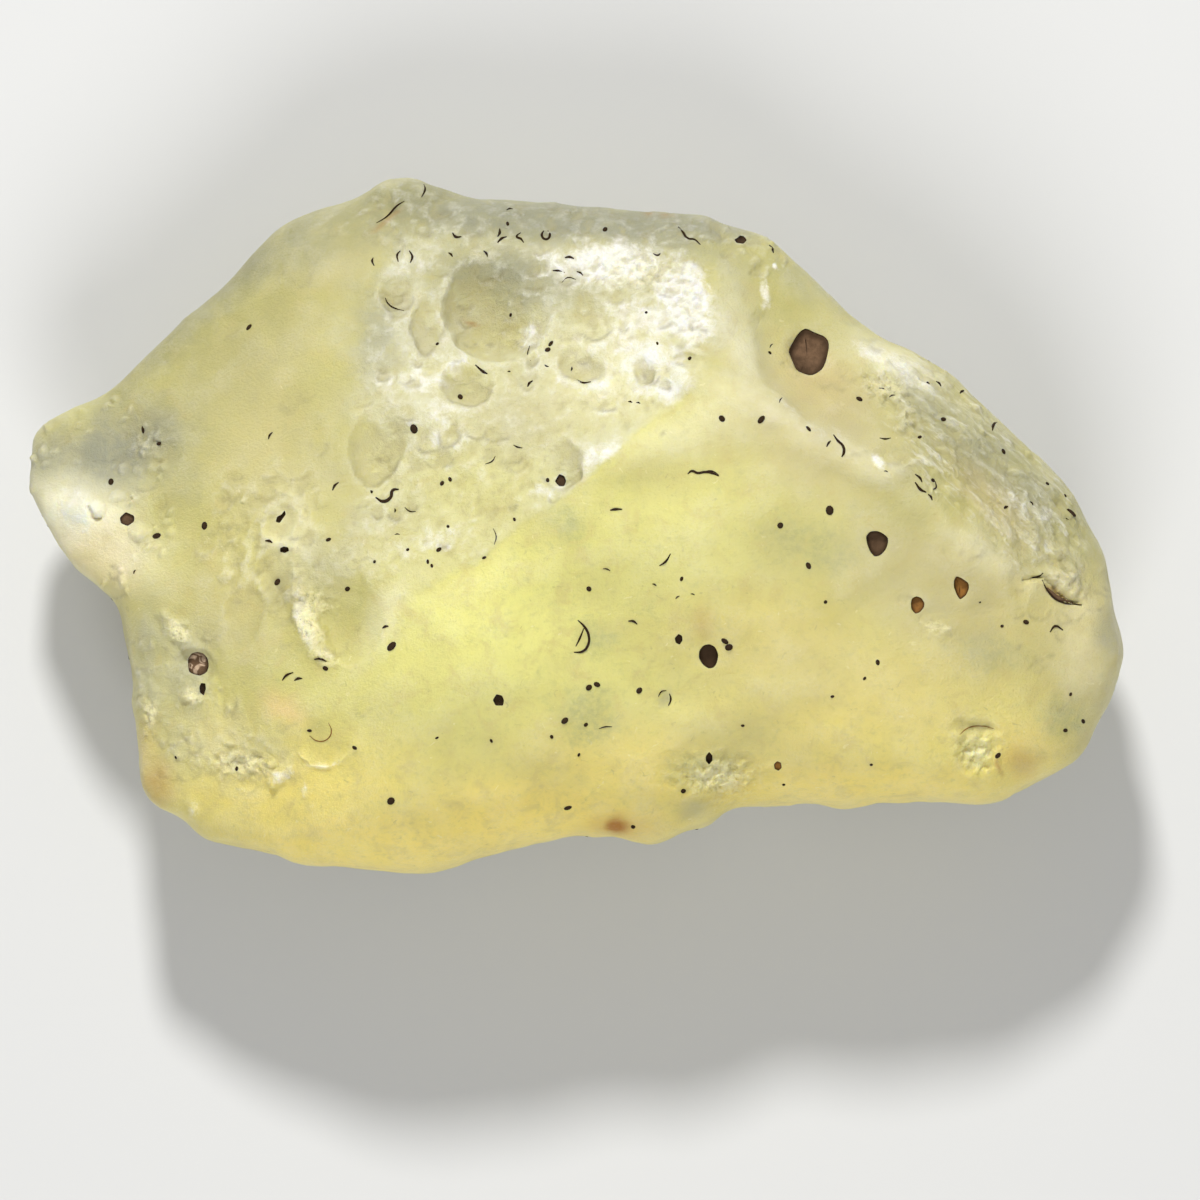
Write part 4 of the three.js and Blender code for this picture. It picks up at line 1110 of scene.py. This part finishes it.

# %% Ovals of cream, white, brown, milky, beige and pink glass, with some painted highlights
CREAM = [
    (-5, 1.5, 5, 4.5, 1, 20), (-8, -2, 5, 2.5, 1, 15), (1, 6.6, 4.5, 2.4, 0.9, 25),
    (-12, -4.7, 3, 2.6, 1), (2.2, 9.3, 3, 1.6, 0.6), (-5.5, 7.2, 3, 1.6, 0.6), (-3.2, 9.4, 2.2, 1.3, 0.6),
    (-9.9, 3, 2.5, 3, 0.7),
]
# White frost, partly painted highlights: the small ovals on bumps, ridges and glints stand in for
# highlights.
WHITE_AND_HIGHLIGHTS = [
    (1.4, 13.0, 3.0, 1.1, 1.1), (5.5, 11, 1.4, 2.3, 1.15, 10), (3.4, 10.3, 2.6, 1.1, 0.6),
    (3.4, 8.4, 2.4, 1.1, 0.6), (1.1, 3.5, 1.4, 0.6, 0.6, 33), (-1.6, 1.7, 1.3, 0.4, 0.5, 15),
    (4.8, 6.8, 1.2, 0.9, 0.7, 40), (-2.3, 9.5, 0.7, 0.8, 0.7), (-7.4, 7.2, 2.0, 0.8, 0.5),
    (-13.5, -4.7, 0.5, 1.8, 0.75, 12), (-6.0, 8.1, 1.0, 0.7, 0.5), (-24.9, 0.9, 1.6, 1.4, 0.5, -20),
    (14.6, 8.6, 1.3, 0.5, 0.5, -45), (-7.5, -0.9, 3, 0.9, 0.35, 15), (22.5, 0.8, 2.5, 0.5, 0.5, -35),
    (-8.5, 13.2, 2.0, 0.8, 0.3), (-6.8, 5.2, 1.4, 1.4, 0.4), (9.4, 11.6, 0.35, 1.1, 0.7, 10),
    (9.9, 13, 0.15, 0.2, 1.2), (15.0, 3.2, 0.3, 0.45, 0.9, 40), (-10.25, 16.8, 0.4, 0.15, 1.4, 20),
    (13, 4.6, 2.5, 0.6, 0.3, -40), (11, 5.6, 2.5, 0.5, 0.4, -40), (-13.5, -13.2, 0.25, 0.5, 0.5, 10),
    (-13.2, -14.05, 0.25, 0.25, 0.5), (-19, -14.1, 0.4, 0.8, 0.5, 25), (-12.4, -11.85, 0.9, 0.2, 0.6, 5),
    (-14.7, -12.5, 0.9, 0.4, 0.55, 25), (2, 7.6, 4, 3, 0.3, 20), (16.2, 7.9, 2.6, 0.8, 0.5, -35),
]
BROWN = [
    (2.1, -14.9, 0.85, 0.7, 1.1, 10), (1.9, -15.1, 1.6, 0.9, 0.45), (-20.8, -12.9, 0.9, 1.2, 0.5),
    (22.2, -11.8, 0.9, 0.8, 0.4), (3.65, 15.8, 0.4, 0.3, 0.8), (4.6, 15.6, 0.4, 0.3, 0.8),
    (6.25, -4.9, 0.6, 0.8, 0.3), (-5.2, 10.05, 0.4, 0.15, 0.6, -25), (-9.4, 15.3, 0.9, 0.15, 0.5, 35),
    (2.6, -14.9, 1.6, 0.7, 0.3), (21.1, -12.1, 0.12, 0.5, 0.6), (23.9, -3.4, 0.8, 0.16, 0.6, -32),
]
# Milky glass. On the knob's boss its cream is partly a painted soft highlight.
MILKY = [
    (-24.9, 0.8, 2.7, 2.6, 1.3, -20), (-22.9, -1.1, 3, 1.8, 0.7, -40), (-25, -2, 1.5, 2, 0.5, -30),
    (2, 7.6, 4, 3, 0.5, 20), (-2, 5, 4, 2.5, 0.2, 15), (8.3, 9.2, 1.2, 3.5, 0.6, 5),
    (10, 5.6, 3.5, 0.7, 0.3, -25), (16.2, 7.9, 2.8, 1.0, 0.8, -35), (5.5, 4.5, 3, 1.5, 0.4, 20),
    (-14.3, -0.6, 1.2, 2.5, 0.4), (7.2, 6, 2.5, 1.5, 0.4, 30), (25.4, -6, 1.6, 4, 0.35),
    (-9.6, -4.5, 0.9, 2.2, 0.5, -25), (14.5, 3, 3, 0.7, 0.3, -38), (20.5, -1.6, 3, 0.8, 0.4, -35),
    (-8.5, 5.5, 3, 3, 0.15),
]
BEIGE = [
    (12, 5, 6, 4.5, 1, -35), (18, -3, 7, 4, 0.9, -30), (24, -5, 3, 4, 0.6), (-15, 3, 4, 8, 0.6, 10),
    (-12.3, 13.8, 2.5, 2, 1, 30), (-16, 8, 5, 3, 0.7, 40), (-17, -3.5, 3, 4, 0.5),
    (-2, 5.2, 4, 1.6, 0.55, 10), (9, -1, 6, 4, 0.3), (12, -7, 7, 3, 0.5), (17, -7.5, 7, 3.5, 0.4, -10),
    (7, -10, 7, 2.5, 0.3),
]
PINK = [
    (-14.5, -9.1, 1.3, 0.8, 0.9, -30), (12, 7.2, 2.6, 1.6, 0.35, -30), (20.5, 1.5, 3, 1, 0.3, -45),
    (-24, -1.5, 2.6, 2.2, 0.35, -40), (-21.5, -11.5, 0.8, 2, 0.4),
]

# %% Frost, which ends sharply where the face meets the smooth one, and softly elsewhere
CRISP_SIDE = (0.61, -0.79)
fringe = noise_at(places, 2.2, 5)
softness = 1 - soft_step(-4.5, -1.5, plan @ CRISP_SIDE)
inside_face = distance_inside(plan, FROSTED_FACE) + fringe * (0.2 + 1.6 * softness)
frosting = soft_step(-0.1 - 1.2 * softness, 0.3 + 1.6 * softness, inside_face) * upper
for zone, share in ((RIPPLED_SLOPE, 0.6), (LEFT_WALL, 0.5), (KNOB, 0.45)):
    in_zone = soft_step(-0.8, 1.4, distance_inside(plan, zone) + 1.8 * fringe)
    frosting = np.maximum(frosting, share * in_zone * upper)
lower_frost = (1 - upper) * soft_step(0, 0.35, noise_at(places, 8, 2))
frosting = np.maximum(frosting, 0.6 * lower_frost)
print("frosted share of the skin:", round(float(frosting.mean()), 2))

# %% How far each point stands above or below the skin round it
LEVELLING_ROUNDS = 24
STANDING_OUT = (0.004, 0.035)
edges = np.empty(len(lump.data.edges) * 2, int)
lump.data.edges.foreach_get("vertices", edges)
starts, ends = edges.reshape(-1, 2).T
neighbours = np.bincount(np.concatenate([starts, ends]), minlength=len(places))[:, None]
levelled = places
for _ in range(LEVELLING_ROUNDS):
    sums = [
        np.bincount(starts, column[ends], len(places)) + np.bincount(ends, column[starts], len(places))
        for column in levelled.T
    ]
    levelled = (levelled + np.stack(sums, 1) / neighbours) / 2
height = ((places - levelled) * facings).sum(1)
print("heights over the levelled skin:", np.percentile(height, [1, 10, 50, 90, 99]).round(3))

# %% Give the lump its masks
in_dents = np.maximum(distance_inside(plan, DENTED_SLOPE), distance_inside(plan, TOP_BAND))
pitted = soft_step(-0.4, 0.8, in_dents + fringe)
worn = np.maximum(frosting, (0.3 + 0.5 * pitted) * upper)
# Raised points are whitened and sunken ones darkened: partly frost worn off the ridges and smoother glass in
# the hollows, partly painted highlight on the ridges and painted shade in the hollows.
store(lump, "raised", soft_step(*STANDING_OUT, height) * worn)
store(lump, "sunken", soft_step(*STANDING_OUT, -height) * worn)
store(lump, "frost", frosting)
store(lump, "ripple", soft_step(-1, 0.8, distance_inside(plan, RIPPLED_SLOPE) + fringe) * upper)
UPPER_TINTS = dict(
    bright=BRIGHT, moss=MOSS, cream=CREAM, white=WHITE_AND_HIGHLIGHTS, brown=BROWN, pink=PINK, milky=MILKY, crust=CRUSTS,
)
WRAPPED_TINTS = dict(warm=WARM, olive=OLIVE_AND_SHADE, grey=GREY_AND_SHADE, beige=BEIGE, top_band_shade=TOP_BAND_SHADE)
for tints, lowest in ((UPPER_TINTS, UPPER_SIDE), (WRAPPED_TINTS, OVER_THE_EDGE)):
    for name, ovals in tints.items():
        store(lump, name, soft_ovals(ovals, lowest))
# The rim is a dark line along the lower side of scoops and dents: dirt on the frosted scoops, painted shade
# on the dents. The rim highlight just outside it is a painted highlight.
RIMS = (("rim", 0.97, 0.08), ("rim_highlight", 1.3, 0.22))
for name, share, width in RIMS:
    crisp_rims = rims(carved[1:] + chips, share, width) * frosting
    store(lump, name, np.maximum(crisp_rims, 0.7 * rims(dents, share, width) * upper))


# %% [markdown]
# ## Building materials from expressions
# Shader nodes are maths on sockets. This class wraps a socket, so that the maths can be written as it is
# read.


# %% A socket that can be calculated with
class Flow:
    """A value that varies over the surface. Arithmetic on it adds Math nodes to the material."""

    def __init__(self, finish, socket):
        self.finish, self.socket = finish, socket

    def maths(self, operation, *values):
        return self.finish.add("ShaderNodeMath", dict(operation=operation), dict(enumerate(values)))

    def __add__(self, other):
        return self.maths("ADD", self, other)

    def __sub__(self, other):
        return self.maths("SUBTRACT", self, other)

    def __mul__(self, other):
        return self.maths("MULTIPLY", self, other)

    def between(self, low, high):
        """0 up to low, 1 from high on, and smooth between. Low may be the higher number."""
        settings = dict(interpolation_type="SMOOTHSTEP")
        sockets = {"Value": self, "From Min": low, "From Max": high}
        return self.finish.add("ShaderNodeMapRange", settings, sockets)


class Finish:
    """A material, with its Principled shader."""

    def __init__(self, name):
        self.material = bpy.data.materials.new(name)
        self.material.use_nodes = True
        self.tree = self.material.node_tree
        self.shader = self.tree.nodes["Principled BSDF"]
        self.output = self.tree.nodes["Material Output"]

    def feed(self, node, sockets):
        """Sets or links a node's inputs, by name or number."""
        for key, value in sockets.items():
            if isinstance(value, Flow):
                self.tree.links.new(value.socket, node.inputs[key])
            else:
                node.inputs[key].default_value = value

    def add(self, kind, settings, sockets, output=0):
        node = self.tree.nodes.new(kind)
        for name, value in settings.items():
            setattr(node, name, value)
        self.feed(node, sockets)
        return Flow(self, node.outputs[output])

    def mask(self, name):
        return self.add("ShaderNodeAttribute", dict(attribute_name=name), {}, "Fac")

    def paint(self, colour, *layers):
        """Lays tints over a colour, one after another, each with its own share."""
        for share, tint in layers:
            colour = self.add("ShaderNodeMix", dict(data_type="RGBA"), {0: share, 6: colour, 7: tint}, 2)
        return colour

    def noise(self, size, detail=3, roughness=0.5, distortion=0, place=None):
        """Noise on the object's own coordinates, with features of a size in millimetres."""
        place = place or self.add("ShaderNodeTexCoord", {}, {}, "Object")
        sockets = dict(Vector=place, Scale=1 / (size * MM), Detail=detail)
        sockets.update(Roughness=roughness, Distortion=distortion)
        return self.add("ShaderNodeTexNoise", {}, sockets, "Fac")

    def bump(self, height, depth, under=None):
        """Bumps of a depth in millimetres where height goes from 0 to 1."""
        sockets = dict(Height=height, Distance=depth * MM, Strength=1.0)
        if under:
            sockets["Normal"] = under
        return self.add("ShaderNodeBump", {}, sockets, "Normal")


# %% [markdown]
# ## The glass
# The real glass is milky: light goes in, scatters on tiny bubbles, and comes out yellow. So the shader lets
# part of the light through, with the refraction of silica glass and an absorption that takes out blue, and
# scatters the rest just under the surface. Frosting makes it whiter and rougher.
#
# The colour is built up in layers, from the glass inside to the dirt on top, with painted highlights and
# painted shade among them. Tints go with the lump's masks.
# Noise in several sizes breaks every layer up: clouds are the largest, and grain is the finest.

# %% Name the colours, and give each tint its strength
KHAKI = (0.64, 0.595, 0.22, 1)
DEEP_KHAKI = (0.59, 0.54, 0.19, 1)
DULL_OLIVE = (0.41, 0.38, 0.14, 1)
MOSS_GREEN = (0.42, 0.43, 0.18, 1)
TAN = (0.64, 0.50, 0.20, 1)
# The warm tint is partly painted light, lightening the nose and the lower edge.
UNDER_FROST = dict(
    bright=((0.90, 0.87, 0.31, 1), 0.9),
    warm=((0.95, 0.77, 0.20, 1), 0.85),
)
# The olive and grey tints are partly painted shade, and the top band tint is all painted shade.
OVER_FROST = dict(
    beige=((0.66, 0.59, 0.36, 1), 0.75),
    milky=((1, 0.97, 0.74, 1), 0.85),
    olive=(DULL_OLIVE, 0.75),
    grey=((0.36, 0.355, 0.25, 1), 0.85),
    top_band_shade=((0.25, 0.24, 0.12, 1), 0.6),
    pink=((0.90, 0.60, 0.27, 1), 0.6),
)
STAINS = dict(brown=((0.42, 0.18, 0.012, 1), 1))
FROST_VEIL = (0.74, 0.72, 0.53, 1)
CREAM_VEIL = (0.80, 0.76, 0.37, 1)
FROST_WHITE = (1, 0.99, 0.93, 1)
CRUST_CREAM = (0.98, 0.92, 0.58, 1)
# Painted shade in sunken points, partly smoother glass in the hollows.
SHADED_HOLLOW_BEIGE = (0.52, 0.46, 0.22, 1)
# Dirt in crusts and on scoop rims, and painted shade on the lower rims of dents.
RIM_DIRT_AND_SHADE = (0.30, 0.26, 0.12, 1)

# %% Noise for the glass
RIPPLE_DRAWN = 4
glass = Finish("milky_yellow_glass")
clouds = glass.noise(3.5, 4, 0.55)
fine_clouds = glass.noise(1.3, 6, 0.7, 0.5)
wisps = glass.noise(0.8, 7, 0.75, 0.3)
flecks = glass.noise(0.5, 3, 0.6, 1)
crumbs = glass.noise(0.35, 4, 0.7)
grain = glass.noise(0.14, 4, 0.75)
object_place = glass.add("ShaderNodeTexCoord", {}, {}, "Object")
ripple_way = dict(
    Vector=object_place, Rotation=(0, 0, math.radians(RIPPLE_TURN)), Scale=(RIPPLE_DRAWN, 1, 1),
)
along_ripples = glass.add("ShaderNodeMapping", dict(vector_type="TEXTURE"), ripple_way, "Vector")
streaks = glass.noise(0.42, 5, 0.65, 0.5, along_ripples)


# %% Mix the glass colours
def tinted(colour, tints):
    """Lays tints over a colour, each as strong as its mask, which noise makes uneven."""
    unevenness = fine_clouds.between(0.3, 0.65) * 0.4 + 0.6
    layers = [(glass.mask(name) * unevenness * share, tint) for name, (tint, share) in tints.items()]
    return glass.paint(colour, *layers)


def broken(name, noise, strength=1.4):
    """A mask that noise breaks up into patches."""
    return (glass.mask(name) * strength + noise * 1.8 - strength).between(0, 1)


frost = glass.mask("frost")
raised, sunken, crust, rim = [glass.mask(name) for name in ("raised", "sunken", "crust", "rim")]
satin = wisps.between(0.35, 0.65) * 0.5 + grain.between(0.35, 0.65) * 0.5
veil = glass.paint(FROST_VEIL, (glass.mask("cream") * 0.9, CREAM_VEIL))
# Painted highlights: the small white ovals and the rim highlight below each lower rim stand in for light;
# the rest of the white is frost.
whitened = glass.mask("white") * 1.5 + glass.mask("rim_highlight") * 0.4 + frost * 0.15
white = (whitened + wisps * 2.2 - 1.5).between(0, 1)
# Where the ripples run. The light and dark streaks laid on it are painted highlight and painted shade; its
# streaks also drive the bump.
ripple_band = glass.mask("ripple") * (fine_clouds.between(0.35, 0.6) * 0.5 + 0.5)

colour = tinted(glass.paint(KHAKI, (clouds.between(0.4, 0.6), DEEP_KHAKI)), UNDER_FROST)
colour = glass.paint(
    colour,
    (fine_clouds.between(0.54, 0.7) * clouds.between(0.4, 0.55) * 0.25, MOSS_GREEN),
    (fine_clouds.between(0.5, 0.3) * 0.3, TAN),
    (crumbs.between(0.5, 0.75) * 0.25, MOSS_GREEN),
    (flecks.between(0.66, 0.74) * 0.4, CRUST_CREAM),
    (flecks.between(0.34, 0.27) * 0.4, DULL_OLIVE),
    (broken("moss", fine_clouds) * (crumbs.between(0.35, 0.6) * 0.35 + 0.3), MOSS_GREEN),
    (frost * (fine_clouds.between(0.3, 0.65) * 0.45 + satin * 0.2 + 0.3), veil),
)
# Over the frost come painted highlights and painted shade: white on raised points and the light ripple
# streaks are painted highlights, the beige in sunken points and the dark ripple streaks are painted shade,
# and the dark rim line is dirt on the frosted scoops and painted shade on the dents.
colour = glass.paint(
    tinted(colour, OVER_FROST),
    (white * (satin * 0.4 + 0.6), FROST_WHITE),
    (raised * satin * 0.4, FROST_WHITE),
    (ripple_band * streaks.between(0.52, 0.72) * 0.55, FROST_WHITE),
    (ripple_band * streaks.between(0.48, 0.3) * 0.5, DULL_OLIVE),
    (sunken * 0.38, SHADED_HOLLOW_BEIGE),
    (broken("crust", crumbs) * 0.85, CRUST_CREAM),
    (crust * crumbs.between(0.42, 0.3) * 0.6, RIM_DIRT_AND_SHADE),
    (rim * (wisps.between(0.3, 0.6) * 0.5 + 0.1), RIM_DIRT_AND_SHADE),
    (grain.between(0.55, 0.8) * 0.15, DULL_OLIVE),
)
colour = tinted(colour, STAINS)

# %% Set the glass shader
roughness_relief = wisps * (frost * 0.8 + 0.2) + crumbs * crust * 1.4 + streaks * ripple_band * 0.5
rough_skin = glass.bump(roughness_relief, 0.25, glass.bump(grain, 0.07))
glass.feed(glass.shader, {
    "Base Color": colour,
    "Roughness": frost * 0.2 + clouds * 0.1 + 0.3,
    "Normal": rough_skin,
    "IOR": 1.46,
    "Transmission Weight": 0.15,
    "Subsurface Weight": 1.0,
    "Subsurface Radius": (1.0, 0.9, 0.45),
    "Subsurface Scale": 0.11 * MM,
})
ABSORBED = dict(Color=(0.94, 0.91, 0.5, 1), Density=60.0)
absorption = glass.add("ShaderNodeVolumeAbsorption", {}, ABSORBED, "Volume")
glass.feed(glass.output, {"Volume": absorption})
lump.data.materials.clear()
lump.data.materials.append(glass.material)
select_only(lump)
CRISP_EDGE = math.radians(42)
bpy.ops.object.shade_smooth_by_angle(angle=CRISP_EDGE)

# %% [markdown]
# ## The clay and the dirt
# Dry clay is matt. Its tone goes from nearly black over brown to orange, and on to brown with pale layers.
# It darkens towards the rim, partly as dirt and partly as painted shade of the pit wall, and its grains
# show.

# %% Mix the clay
DARK_CLAY = (0.03, 0.017, 0.008, 1)
BROWN_CLAY = (0.15, 0.088, 0.048, 1)
ORANGE_CLAY = (0.27, 0.12, 0.025, 1)
PALE_CLAY = (0.55, 0.40, 0.27, 1)

clay_finish = Finish("dry_clay")
tone = clay_finish.mask("tone")
mottle = clay_finish.noise(0.35, 4, 0.6)
grains = clay_finish.noise(0.07, 3, 0.6)
layered = tone.between(1, 1.1)
pale_layers = layered * clay_finish.noise(0.5, 1, 0.5, 1.5).between(0.48, 0.56)
clay_colour = clay_finish.paint(
    DARK_CLAY,
    (tone.between(0, 0.5), BROWN_CLAY),
    (tone.between(0.5, 0.9), ORANGE_CLAY),
    (layered, BROWN_CLAY),
    (pale_layers, PALE_CLAY),
    (mottle.between(0.35, 0.75) * 0.5, DARK_CLAY),
    # Darker at the rim: partly dirt, partly painted shade of the pit wall. Specks and black cracks are dark
    # all over.
    (clay_finish.mask("edge") * 0.85, DARK_CLAY),
)
clay_finish.feed(clay_finish.shader, {
    "Base Color": clay_colour,
    "Roughness": mottle * 0.15 + 0.75,
    "Specular IOR Level": 0.1,
    "Normal": clay_finish.bump(grains, 0.03),
})
for piece in (clay, specks, cracks):
    piece.data.materials.clear()
    piece.data.materials.append(clay_finish.material)
    select_only(piece)
    bpy.ops.object.shade_smooth()

# %% [markdown]
# ## The floor, the light and the camera
# The lump lies on a plain pale floor under soft light. The camera looks straight down on it, as the
# photograph does. A long lens from further away keeps the outline and the marks on top in register.

# %% Floor
FLOOR_SIZE = 3.0
bpy.ops.object.select_all(action="DESELECT")
bpy.ops.mesh.primitive_plane_add(size=FLOOR_SIZE, location=(0, 0, 0))
floor = bpy.context.active_object
floor.name = "floor"
paper = Finish("pale_paper")
paper.feed(paper.shader, {"Base Color": (0.57, 0.57, 0.56, 1), "Roughness": 0.9})
floor.data.materials.append(paper.material)

# %% Camera
VIEW_WIDTH = 60 * MM
VIEW_CENTRE = (1.2 * MM, -3.7 * MM)
OUTLINE_HEIGHT = 7.2 * MM
LENS, SENSOR = 800, 36
camera_data = bpy.data.cameras.new("camera")
camera_data.lens = LENS
camera_data.sensor_width = SENSOR
camera_data.clip_start = 0.01
camera = bpy.data.objects.new("camera", camera_data)
camera.location = (*VIEW_CENTRE, OUTLINE_HEIGHT + VIEW_WIDTH * LENS / SENSOR)
bpy.context.scene.collection.objects.link(camera)
bpy.context.scene.camera = camera


# %% Light
def soft_light(name, place, size, power):
    """A round lamp that shines towards the lump."""
    data = bpy.data.lights.new(name, "AREA")
    data.shape = "DISK"
    data.size = size
    data.energy = power
    light = bpy.data.objects.new(name, data)
    light.location = place
    light.rotation_euler = (-Vector(place)).to_track_quat("-Z", "Y").to_euler()
    bpy.context.scene.collection.objects.link(light)


soft_light("key", (-0.05, 0.42, 0.38), 0.08, 3.6)
soft_light("fill", (0.0, -0.5, 0.45), 0.4, 3.0)
ROOM_LIGHT = 0.3
world = bpy.data.worlds.new("soft_room")
world.use_nodes = True
background = world.node_tree.nodes["Background"]
background.inputs["Color"].default_value = (1, 1, 1, 1)
background.inputs["Strength"].default_value = ROOM_LIGHT
bpy.context.scene.world = world
bpy.context.scene.view_settings.view_transform = "Standard"

# %% [markdown]
# ## Join it to the frame
# Every piece moves with the frame's one body. The lump stands for the solid that it was made from.

# %% Ride, replace and finish
for piece in (lump, clay, specks, cracks):
    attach(piece, "root")
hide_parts(GLASS_NODE)
